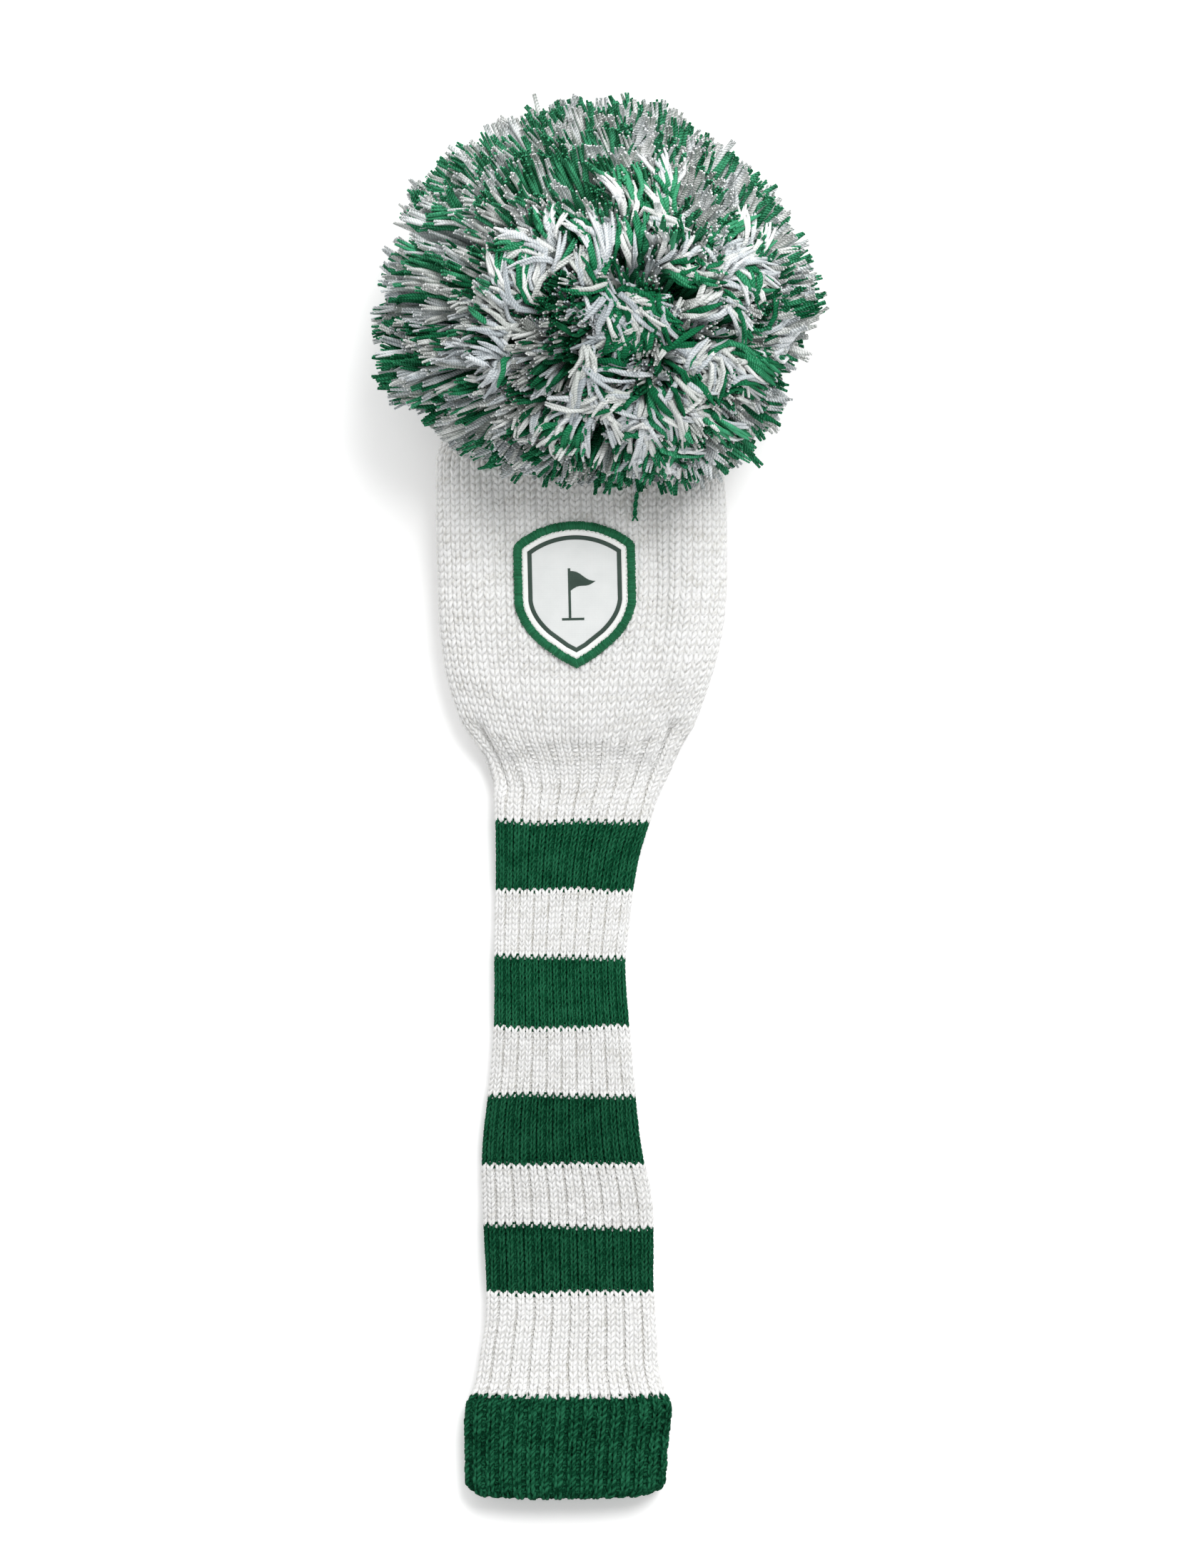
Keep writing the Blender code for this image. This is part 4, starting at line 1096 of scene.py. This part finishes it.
def plate(name, outline, low, high, material, node, rings):
    """A thin closed plate with a gridded top that follows the badge's surface."""
    centre = np.array([0.0, 1.0])
    verts = [on_front(centre + (outline - centre) * scale, high)
             for scale in np.linspace(1, 0.02, rings)]
    verts += [on_front(centre + (outline - centre) * scale, low) for scale in (1.0, 0.5, 0.02)]
    n = len(outline)
    i = np.arange(n)
    j = np.roll(i, -1)
    base = rings * n
    faces = [quads(i + k * n, j + k * n, j + (k + 1) * n, i + (k + 1) * n)
             for k in range(rings - 1)]
    for k in range(2):
        inner, outer = base + (k + 1) * n, base + k * n
        faces.append(quads(i + inner, j + inner, j + outer, i + outer))
    faces.append(quads(i + base, j + base, j, i))
    obj = make_mesh(name, np.concatenate(verts), np.concatenate(faces), material)
    mesh = obj.data
    bm = bmesh.new()
    bm.from_mesh(mesh)
    bmesh.ops.holes_fill(bm, edges=[e for e in bm.edges if e.is_boundary], sides=0)
    bmesh.ops.recalc_face_normals(bm, faces=bm.faces)
    bm.to_mesh(mesh)
    bm.free()
    mesh.polygons.foreach_set("use_smooth", np.ones(len(mesh.polygons), bool))
    attach(obj, "head", node)


def strip(name, outer, inner, low, high, crown, material, node, across=5):
    """A closed band between two outlines, slightly crowned."""
    columns = [on_front(outer + (inner - outer) * f, high + crown * math.sin(math.pi * f))
               for f in np.arange(across) / (across - 1)]
    columns += [on_front(inner, low), on_front(outer, low)]
    n, m = len(outer), len(columns)
    i = np.arange(n)
    j = np.roll(i, -1)
    faces = [quads(i + k * n, j + k * n, j + (k + 1) % m * n, i + (k + 1) % m * n)
             for k in range(m)]
    obj = make_mesh(name, np.concatenate(columns), np.concatenate(faces), material)
    attach(obj, "head", node)


def border_threads():
    """Wrapped border: side-by-side threads laid across the edge."""
    count, points = 470, 9
    edge = shield(count)
    random = np.random.default_rng(77)
    outer = 0.05 + 0.10 * random.standard_normal(count)
    inner = BORDER_WIDTH + 0.12 * random.standard_normal(count)
    rows = []
    for f in np.linspace(0, 1, points):
        height = -0.25 + 1.75 * math.sin(math.pi * (0.06 + 0.88 * f)) ** 0.7
        rows.append(on_front(move_in(edge, outer * (1 - f) + inner * f),
                             height + 0.05 * random.standard_normal(count)))
    radius = 0.27 + 0.02 * random.standard_normal((count, 1))
    verts, faces, uvs = tubes(np.stack(rows, 1), UP, radius, 5, False)
    tint = 0.1 + 0.08 * np.repeat(random.standard_normal(count), points * 5)
    obj = make_mesh("patch_border_threads", verts, faces, STITCH_GREEN, uvs, tint)
    attach(obj, "head", "patch_border")


def polygon_plate(name, outline, low, high, material, node):
    """A thin shape from a polygon, finely divided so that it follows the badge."""
    bm = bmesh.new()
    bm.faces.new([bm.verts.new((x, y, 0)) for x, y in outline]).normal_update()
    bmesh.ops.triangulate(bm, faces=bm.faces)
    for _ in range(2):
        long_edges = [e for e in bm.edges if e.calc_length() > 1.0]
        bmesh.ops.subdivide_edges(bm, edges=long_edges, cuts=1, use_grid_fill=True)
        bmesh.ops.triangulate(bm, faces=bm.faces)
    extruded = bmesh.ops.extrude_face_region(bm, geom=list(bm.faces))
    raised = {v for v in extruded["geom"] if isinstance(v, bmesh.types.BMVert)}
    for v in bm.verts:
        point = on_front(np.array([[v.co.x, v.co.y]]), high if v in raised else low)[0]
        v.co = Vector(place(point))
    bmesh.ops.recalc_face_normals(bm, faces=bm.faces)
    mesh = bpy.data.meshes.new(name)
    bm.to_mesh(mesh)
    bm.free()
    attach(link_object(name, mesh, material), "head", node)


def flag_outline():
    """A plain golf flag: ground line, pole and waving pennant."""
    ground_left, ground_right, ground_low, ground_high = -4.6, 2.9, -8.6, -7.8
    pole_left, pole_right, pole_top = -2.3, -1.45, 8.9
    length, tip_y, ripple = 8.4, 4.5, 0.5

    def pennant(start_y, t):
        return (pole_right + length * t,
                start_y + (tip_y - start_y) * t + ripple * math.sin(2 * math.pi * t))

    return ([(ground_left, ground_low), (ground_right, ground_low), (ground_right, ground_high),
             (pole_right, ground_high)]
            + [pennant(1.4, k / 8) for k in range(9)]
            + [pennant(8.0, 1 - k / 8) for k in range(1, 9)]
            + [(pole_right, pole_top), (pole_left, pole_top), (pole_left, ground_high),
               (ground_left, ground_high)])


badge_outline = shield(560)
ring_inner = move_in(badge_outline, BORDER_WIDTH + RING_WIDTH)
plate("patch_backing_cloth", move_in(badge_outline, 0.7), low=-0.55, high=0.1,
      material=PATCH_BACK, node="patch_backing", rings=8)
plate("patch_face_satin", move_in(badge_outline, BORDER_WIDTH - 0.7), low=0.12, high=0.55,
      material=PATCH_WHITE, node="patch_face", rings=30)
strip("patch_ring_satin", move_in(badge_outline, BORDER_WIDTH - 0.25), ring_inner, low=0.4,
      high=0.72, crown=0.10, material=PATCH_RING, node=None)
strip("patch_pinstripe_print", ring_inner,
      move_in(badge_outline, BORDER_WIDTH + RING_WIDTH + LINE_WIDTH), low=0.5, high=0.70,
      crown=0.05, material=PATCH_DARK, node="patch_pinstripe")
border_threads()
# padding under the wrapped threads, so no gap shows between them
strip("patch_border_core", move_in(badge_outline, 0.05),
      move_in(badge_outline, BORDER_WIDTH - 0.1), low=0.0, high=0.55, crown=0.85,
      material=STITCH_GREEN, node=None, across=9)
# a line of small stitches just inside the border
tack = on_front(move_in(shield(), BORDER_WIDTH + 0.32), 0.80)
running_stitches("patch_tack_stitch_row", tack, np.broadcast_to(UP, tack.shape), length=1.1,
                 gap=0.35, radius=0.16, material=THREAD, moving_body="head",
                 node="patch_tack_stitching")
polygon_plate("patch_flag_print", flag_outline(), low=0.5, high=0.68, material=PATCH_DARK,
              node="patch_flag_motif")

# ------------------------------------------------------------------ pom-pom
BALL = np.array([10.8, 407.2, 57.0])        # centre of its outside
CORE = np.array([20.0, 397.0, 50.0])        # where the strands start
RISE, FALL = 59.0, 56.5                     # height and depth from BALL
# direction seen from above in degrees, radius
POLAR = np.array((
    (-180, 74.6), (-170, 75.3), (-159.5, 81.3), (-150, 80.2), (-140.4, 72.1), (-127.6, 69.0),
    (-113, 68.0), (-98.2, 65.6), (-77.7, 67.3), (-61.7, 72.6), (-50, 74.0), (-40, 74.4),
    (-27.6, 71.2), (-15.8, 72.0), (-8, 73.0), (0, 71.0), (10, 72.9), (20, 67.9), (31.6, 66.2),
    (40, 64.3), (50, 62.6), (60, 63.9), (70, 63.6), (80, 64.5), (90, 64.0), (100, 64.9),
    (110, 62.9), (120, 66.0), (130, 67.9), (140, 68.9), (150, 70.7), (160, 73.2), (170, 70.8),
    (180, 74.6)))
STRAND_T = np.array([0.12, 0.52, 0.70, 0.83, 0.93, 1.0])    # path points along each strand
POLE = unit(np.array([0.10, -0.08, 1.0]))
CROWN_DIRECTION = unit(np.array([0.30, -0.28, 1.0]))
SECTORS = 6             # colour groups in a standing lock
FALLEN_SECTORS = 4
YARN_SHARES = [0.42, 0.32, 0.26]            # green, grey, cream
FALLEN_SHARES = [0.33, 0.40, 0.27]
POM_YARNS = (("green", POM_GREEN), ("grey", POM_GREY), ("cream", POM_CREAM))
POM_HUB = np.array([5.0, 392.0, 34.0])      # where the pom turns


def rim_radius(x, y):
    return np.interp(np.degrees(np.arctan2(y, x)), POLAR[:, 0], POLAR[:, 1])


def ball_radius(direction):
    x, y, z = direction.T
    vertical = np.where(z > 0, RISE, FALL)
    return 1 / np.sqrt((np.hypot(x, y) / rim_radius(x, y)) ** 2 + (z / vertical) ** 2)


def head_push(points, margin):
    """Points moved out of the head's body, and how far each one moved."""
    y = points[..., 1]
    centre_x, half_width, bottom, top, n = section(np.clip(y, 262, HEAD_TOP))
    half_width, half_height = half_width + margin, (top - bottom) / 2 + margin
    centre_z = (bottom + top) / 2
    dx, dz = points[..., 0] - centre_x, points[..., 2] - centre_z
    q = (np.abs(dx / half_width) ** n + np.abs(dz / half_height) ** n) ** (1 / n)
    scale = np.where((q < 1) & (y > 255), 1 / np.maximum(q, 0.05), 1.0)
    scale = 1 + (scale - 1) * (1 - smoothstep(HEAD_TOP, HEAD_TOP + 6.0, y))
    out = points.copy()
    out[..., 0] = centre_x + dx * scale
    out[..., 2] = centre_z + dz * scale
    return out, np.linalg.norm(out - points, axis=-1)


def ball_strands(locks, per, random):
    """Cut yarn ends packed in blunt locks over the whole ball. Returns paths and sectors."""
    k = np.arange(locks) + 0.5
    polar = np.arccos(1 - 2 * k / locks)
    turn = np.pi * (1 + 5**0.5) * k
    lock_dir = np.stack([np.cos(turn) * np.sin(polar), np.sin(turn) * np.sin(polar),
                         np.cos(polar)], 1)
    lock_dir = unit(lock_dir + 0.045 * random.standard_normal(lock_dir.shape))
    lock_dir = lock_dir[(lock_dir[:, 2] > -0.55) | (random.random(len(lock_dir)) < 0.6)]
    locks = len(lock_dir)
    lock_length = np.clip(random.normal(0.972, 0.024, locks), 0.90, 1.01)
    near_top = smoothstep(0.78, 0.97, lock_dir[:, 2])[:, None]
    lean = unit(np.cross(lock_dir, random.standard_normal((locks, 3))))
    lean = lean * np.abs(random.normal(0, 5.5 + 7.5 * near_top, (locks, 1)))
    lock = np.repeat(np.arange(locks), per)
    n = len(lock)
    axis = lock_dir[lock]
    side = unit(np.cross(axis, np.array([0.3, 0.5, 0.81])))
    other = np.cross(axis, side)
    angle = random.uniform(0, 2 * np.pi, n)
    off = 5.9 * np.sqrt(random.random(n))
    tip_dir = unit(axis * 70 + side * (off * np.cos(angle))[:, None]
                   + other * (off * np.sin(angle))[:, None])
    length = lock_length[lock] + np.where(
        random.random(n) < 0.80, random.normal(0, 0.012, n), random.normal(-0.035, 0.045, n))
    length += (random.random(n) < 0.004) * random.uniform(0.02, 0.05, n)
    tip = (BALL + tip_dir * (ball_radius(tip_dir) * length)[:, None] + lean[lock]
           + 1.0 * random.standard_normal((n, 3)))
    root = CORE + 3.5 * random.standard_normal((n, 3)) + 5.0 * tip_dir
    span = np.linalg.norm(tip - root, axis=1, keepdims=True)
    along = (tip - root) / span
    to_pole = POLE - (along @ POLE)[:, None] * along
    off_pole = np.linalg.norm(to_pole, axis=1, keepdims=True)
    to_pole = to_pole / (off_pole + 1e-6)
    # locks stand up and fall outwards only near the crown
    on_crown = smoothstep(0.35, 0.85, lock_dir @ CROWN_DIRECTION)
    arch = (np.abs(random.normal(0.07, 0.16, locks)) * on_crown
            + random.normal(-0.03, 0.07, locks) * (1 - on_crown))[lock][:, None]
    swirl = random.normal(0, 0.16, locks)[lock][:, None]
    arch = arch * np.clip(off_pole * 1.6, 0, 1) * np.where(along[:, 2:3] > -0.3, 1.0, 0.3)
    mid = root + 0.60 * span * (along + to_pole * arch + np.cross(along, to_pole) * swirl)
    mid += 1.7 * random.standard_normal((n, 3))
    sector = lock * SECTORS + (angle / (2 * np.pi) * SECTORS).astype(int)
    t = STRAND_T[None, :, None]
    return bezier(root[:, None], mid[:, None], tip[:, None], t), sector


def heading(angle):
    return np.stack([np.cos(angle), np.sin(angle)], 1)


def over_ball(xy, height):
    """Points above xy on the ball's upper side, scaled by height."""
    offset = xy - BALL[:2]
    rim = rim_radius(offset[:, 0], offset[:, 1]) * height
    distance = np.hypot(offset[:, 0], offset[:, 1])
    q = np.clip(distance / rim, 0, 0.995)
    xy = BALL[:2] + offset * np.minimum(1, 0.97 * rim / (distance + 1e-6))[:, None]
    return np.concatenate([xy, (BALL[2] + RISE * height * np.sqrt(1 - q**2))[:, None]], 1)


def catmull_rom(points, knots, at):
    """Curve values (N, len(at), 3) through four points each (N,4,3)."""
    out = np.zeros((len(points), len(at), 3))
    for k, t in enumerate(at):
        i = min(int(np.searchsorted(knots, t, "right") - 1), 2)
        f = (t - knots[i]) / (knots[i + 1] - knots[i])
        a, b, c, d = (points[:, j] for j in (max(i - 1, 0), i, i + 1, min(i + 2, 3)))
        out[:, k] = 0.5 * (2 * b + (c - a) * f + (2 * a - 5 * b + 4 * c - d) * f**2
                           + (3 * b - a - 3 * c + d) * f**3)
    return out


def fallen_locks(locks, per, random):
    """Longer locks that lie splayed on the ball's upper side. Returns paths and sectors."""
    centre, spread_radius = CORE[:2] + [1.0, -2.0], 43
    angle = random.uniform(0, 2 * np.pi, locks)
    distance = spread_radius * random.random(locks) ** 0.85
    towards = angle + random.normal(0, 0.85, locks)
    innermost = distance < 15                  # these cross over the crown
    distance = np.where(innermost, 9 + 0.4 * distance, distance)
    start = centre + heading(angle) * distance[:, None]
    towards = np.where(innermost, angle + np.pi + random.normal(0, 0.5, locks), towards)
    reach = random.uniform(11, 24, locks) * (1.05 - 0.30 * (distance / spread_radius))
    lock = np.repeat(np.arange(locks), per)
    n = len(lock)
    start = start[lock] + 1.5 * random.standard_normal((n, 2))
    fan = random.uniform(0.14, 0.42, locks)[lock] * random.standard_normal(n)
    direction = towards[lock] + fan
    stretch = reach[lock] * (1 + 0.05 * random.standard_normal(n))
    bend = random.normal(0, 0.5, locks)[lock] + random.normal(0, 0.18, n)
    end = start + heading(direction + bend * 0.5) * stretch[:, None]
    half = start + heading(direction - bend * 0.25) * (0.5 * stretch)[:, None]
    height = random.uniform(0.955, 1.0, locks)[lock] + 0.012 * random.standard_normal(n)
    root = (CORE + 0.55 * (over_ball(start, height) - CORE)
            + 2.0 * random.standard_normal((n, 3)))
    points = np.stack([root, over_ball(start, height * 0.93), over_ball(half, height * 1.035),
                       over_ball(end, height * 0.985)], 1)
    paths = catmull_rom(points, knots=np.array([0.0, 0.30, 0.62, 1.0]),
                        at=(0.0, 0.34, 0.50, 0.68, 0.85, 1.0))
    return paths, lock * FALLEN_SECTORS + random.integers(0, FALLEN_SECTORS, n)


def settle(paths, random):
    """Waves in every strand, then the head pushes them out. Returns paths and which are bad."""
    n = len(paths)
    t = STRAND_T[None, :, None]
    phase = random.uniform(0, 2 * np.pi, (n, 3))[:, None, :]
    size = random.uniform(0.3, 1.5, (n, 1, 1))
    paths = paths + size * np.sin(phase + random.uniform(4, 9, (n, 1, 1)) * t) * t
    paths[..., 2] = np.maximum(paths[..., 2], 1.0)
    paths, moved = head_push(paths, 1.9)
    _, still = head_push(paths, 1.2)
    bad = (moved.max(1) > 30) | (still.max(1) > 0.6)
    smooth = paths.copy()
    smooth[:, 1:-1] = 0.2 * paths[:, :-2] + 0.6 * paths[:, 1:-1] + 0.2 * paths[:, 2:]
    return head_push(smooth, 1.5)[0], bad


def find_fringe(paths):
    """Strands that lie on the head: those in the recess cone over the tie, and those that would
    run into the head at the pom's joint limits."""
    x, y, z = np.moveaxis(paths - (TIE + [0, 8.0, 0]), -1, 0)
    side, front, back = (math.tan(math.radians(degrees)) for degrees in (67, 45, 58))
    across = np.hypot(np.abs(x) / side, np.where(z > 0, z / front, -z / back))
    fringe = ((across < -y) & (-y > 3))[:, 3:].any(1)
    for nod in np.radians((-13.0, 0.0, 15.0)):
        for swing in np.radians((-10.0, 0.0, 10.0)):
            ca, sa, cb, sb = math.cos(nod), math.sin(nod), math.cos(swing), math.sin(swing)
            turn = (np.array([[1, 0, 0], [0, ca, -sa], [0, sa, ca]])
                    @ np.array([[cb, -sb, 0], [sb, cb, 0], [0, 0, 1]]))
            _, hit = head_push(POM_HUB + (paths - POM_HUB) @ turn.T, 0.6)
            fringe |= hit[:, 1:].max(1) > 0.4
    return fringe


def pick_colours(sector, is_fallen, random):
    """Small groups of neighbours share a colour; some strands stray."""
    groups = sector.max() + 1
    standing = random.choice(3, size=groups, p=YARN_SHARES)[sector]
    fallen = random.choice(3, size=groups, p=FALLEN_SHARES)[sector]
    colour = np.where(is_fallen, fallen, standing)
    stray = random.random(len(sector)) < 0.22
    colour[stray] = random.choice(3, size=int(stray.sum()), p=YARN_SHARES)
    return colour


def yarn_ends(name, paths, material, seed):
    """Two-ply yarn ends: plies lie side by side with a slow twist and part at the tip."""
    random = np.random.default_rng(seed)
    n, points, _ = paths.shape
    sides = 4
    side, up = cross_axes(paths, random.standard_normal((n, 1, 3)), False)
    turns = random.uniform(0.9, 1.8, (n, 1))
    start = random.uniform(0, 2 * np.pi, (n, 1))
    fray = random.uniform(0.1, 1.0, (n, 1)) ** 1.5
    offset = (0.42 + fray * 0.80 * smoothstep(0.85, 1.0, STRAND_T))[..., None]
    taper = 0.82 * (1 - 0.46 * smoothstep(0.90, 1.0, STRAND_T))
    plies, radii = [], []
    for k in range(2):
        phase = (start + np.pi * k + 2 * np.pi * turns * STRAND_T)[..., None]
        plies.append(paths + offset * (np.cos(phase) * side + np.sin(phase) * up))
        radii.append(taper * random.uniform(0.82, 1.18, (n, 1)))
    verts, faces, uvs = tubes(np.concatenate(plies), np.concatenate([up, up]),
                              np.concatenate(radii), sides, False)
    verts[:, 2] = np.maximum(verts[:, 2], 0.15)
    first = (np.arange(2 * n) * points * sides)[:, None] + np.arange(sides)
    last = first + (points - 1) * sides
    faces = np.concatenate([faces, last, first[:, ::-1]])
    uvs = np.concatenate([uvs, np.zeros((4 * n, 4, 2))])
    tint = 0.08 + 0.12 * np.repeat(np.tile(random.standard_normal(n), 2), points * sides)
    # painted shade: strands darker towards their roots inside the ball
    tint -= np.tile(np.repeat(0.10 * (1 - smoothstep(0.3, 0.9, STRAND_T)), sides), 2 * n)
    # painted light and shade: paler towards the outside, darker round the middle
    x, y = verts[:, 0], verts[:, 1]
    tint += (0.44 * smoothstep(398.0, 450.0, y) + 0.12 * smoothstep(-5.0, -48.0, x)
             + 0.12 * smoothstep(375.0, 352.0, y) + 0.10 * smoothstep(35.0, 70.0, x)
             - 0.16 * bump(np.hypot(x - 5, y - 392), 0, 36.0))
    return make_mesh(name, verts, faces, material, uvs, tint)


def build_pom():
    random = np.random.default_rng(4242)
    standing, sector = ball_strands(660, 14, random)
    fallen, fallen_sector = fallen_locks(88, 10, np.random.default_rng(77))
    paths = np.concatenate([standing, fallen])
    sector = np.concatenate([sector, fallen_sector + sector.max() + 1])
    paths, bad = settle(paths, random)
    fringe = find_fringe(paths)
    colour = pick_colours(sector, np.arange(len(paths)) >= len(standing), random)
    left = paths[:, -1, 0] < BALL[0]
    for k, (label, yarn) in enumerate(POM_YARNS):
        mine = ~bad & (colour == k)
        for half_name, half in (("left", left), ("right", ~left)):
            obj = yarn_ends(f"pom_strands_{label}_{half_name}", paths[mine & ~fringe & half],
                            yarn, 90 + k)
            attach(obj, "pom", "pom_yarn")
        obj = yarn_ends(f"pom_fringe_{label}", paths[mine & fringe], yarn, 95 + k)
        blend(obj, "head", "pom_tie", 344.0, 384.0)


def build_loose_end():
    """One loose green end that hangs down over the front."""
    t = np.linspace(0, 1, 40)
    y = 360.0 - 29.5 * t
    z = spline(HEIGHT, 1, y) + 0.4 + 6.0 * (1 - t) ** 2
    path = np.stack([24.2 + 0.8 * np.sin(5.2 * t) - 0.9 * t, y, z], 1)
    offset = (0.36 + 0.5 * smoothstep(0.90, 1.0, t))[:, None]
    plies = []
    for k in range(2):
        turn = np.pi * k + 2 * np.pi * 5.5 * t
        plies.append(path + offset * np.stack([np.cos(turn), 0 * turn, np.sin(turn)], 1))
    radius = 0.46 * (1 - 0.35 * smoothstep(0.93, 1.0, t))
    verts, faces, uvs = tubes(np.stack(plies), UP, radius, 7, False)
    obj = make_mesh("pom_loose_end", verts, faces, POM_GREEN, uvs, np.full(len(verts), 0.08))
    attach(obj, "head", None)


build_pom()
build_loose_end()

# ------------------------------------------------------------------ stage, light, camera
scene = bpy.context.scene


def floor_material():
    """White, and a little brighter to the camera than to other rays."""
    material = bpy.data.materials.new("floor_white")
    material.use_nodes = True
    tree = material.node_tree
    tree.nodes.clear()
    to_camera = add_node(tree, "ShaderNodeLightPath", out="Is Camera Ray")
    seen, other = (add_node(tree, "ShaderNodeBsdfDiffuse", {"Color": (grey, grey, grey, 1)})
                   for grey in (1.0, 0.82))
    glow = add_node(tree, "ShaderNodeEmission", {"Strength": 0.10})
    bright = add_node(tree, "ShaderNodeAddShader", {0: seen, 1: glow})
    mixed = add_node(tree, "ShaderNodeMixShader", {0: to_camera, 1: other, 2: bright})
    feed(tree, tree.nodes.new("ShaderNodeOutputMaterial"), {"Surface": mixed})
    return material


def build_floor():
    half = 6.0                                 # metres
    mesh = bpy.data.meshes.new("floor")
    mesh.from_pydata([(-half, -half, 0), (half, -half, 0), (half, half, 0), (-half, half, 0)],
                     [], [(0, 1, 2, 3)])
    floor = link_object("floor", mesh, floor_material())
    floor.location.z = -0.0004


def build_world():
    """Soft white light; the camera sees plain white."""
    studio = bpy.data.worlds.new("studio")
    scene.world = studio
    studio.use_nodes = True
    tree = studio.node_tree
    lighting = tree.nodes["Background"]
    feed(tree, lighting, {"Color": (1.0, 1.0, 1.0, 1), "Strength": 0.74})
    seen = add_node(tree, "ShaderNodeBackground", {"Color": (1, 1, 1, 1), "Strength": 1.0})
    to_camera = add_node(tree, "ShaderNodeLightPath", out="Is Camera Ray")
    mixed = add_node(tree, "ShaderNodeMixShader",
                     {0: to_camera, 1: lighting.outputs[0], 2: seen})
    feed(tree, tree.nodes["World Output"], {"Surface": mixed})


def sun(name, towards, strength, angle):
    """A sun lamp standing in the direction towards, angle degrees wide."""
    light = bpy.data.lights.new(name, "SUN")
    light.energy = strength
    light.angle = math.radians(angle)
    obj = bpy.data.objects.new(name, light)
    obj.rotation_euler = (-Vector(towards)).to_track_quat("-Z", "Y").to_euler()
    scene.collection.objects.link(obj)


def build_camera():
    """Straight above the cover, far away and long, so that it sees almost no perspective."""
    centre_x, centre_y = 10.604, 241.8435      # middle of the view
    view_height = 529.477                      # millimetres seen along y
    distance, aim_z = 7000.0, 18.0
    data = bpy.data.cameras.new("camera")
    data.sensor_fit = "AUTO"
    data.sensor_width = 36.0
    data.lens = 36.0 * distance / view_height
    data.clip_start = 0.1
    data.clip_end = 50.0
    camera = bpy.data.objects.new("camera", data)
    camera.location = world(centre_x, centre_y, aim_z + distance)
    camera.rotation_euler = (0, 0, 0)
    scene.collection.objects.link(camera)
    scene.camera = camera


build_floor()
scene.view_settings.view_transform = "Standard"
scene.view_settings.look = "None"
scene.view_settings.exposure = 0.0
scene.view_settings.gamma = 1.0
build_world()
sun("overhead", towards=(0.26, 0.46, 1.0), strength=1.70, angle=24)
sun("side", towards=(0.05, 1.0, 0.62), strength=1.10, angle=50)
build_camera()
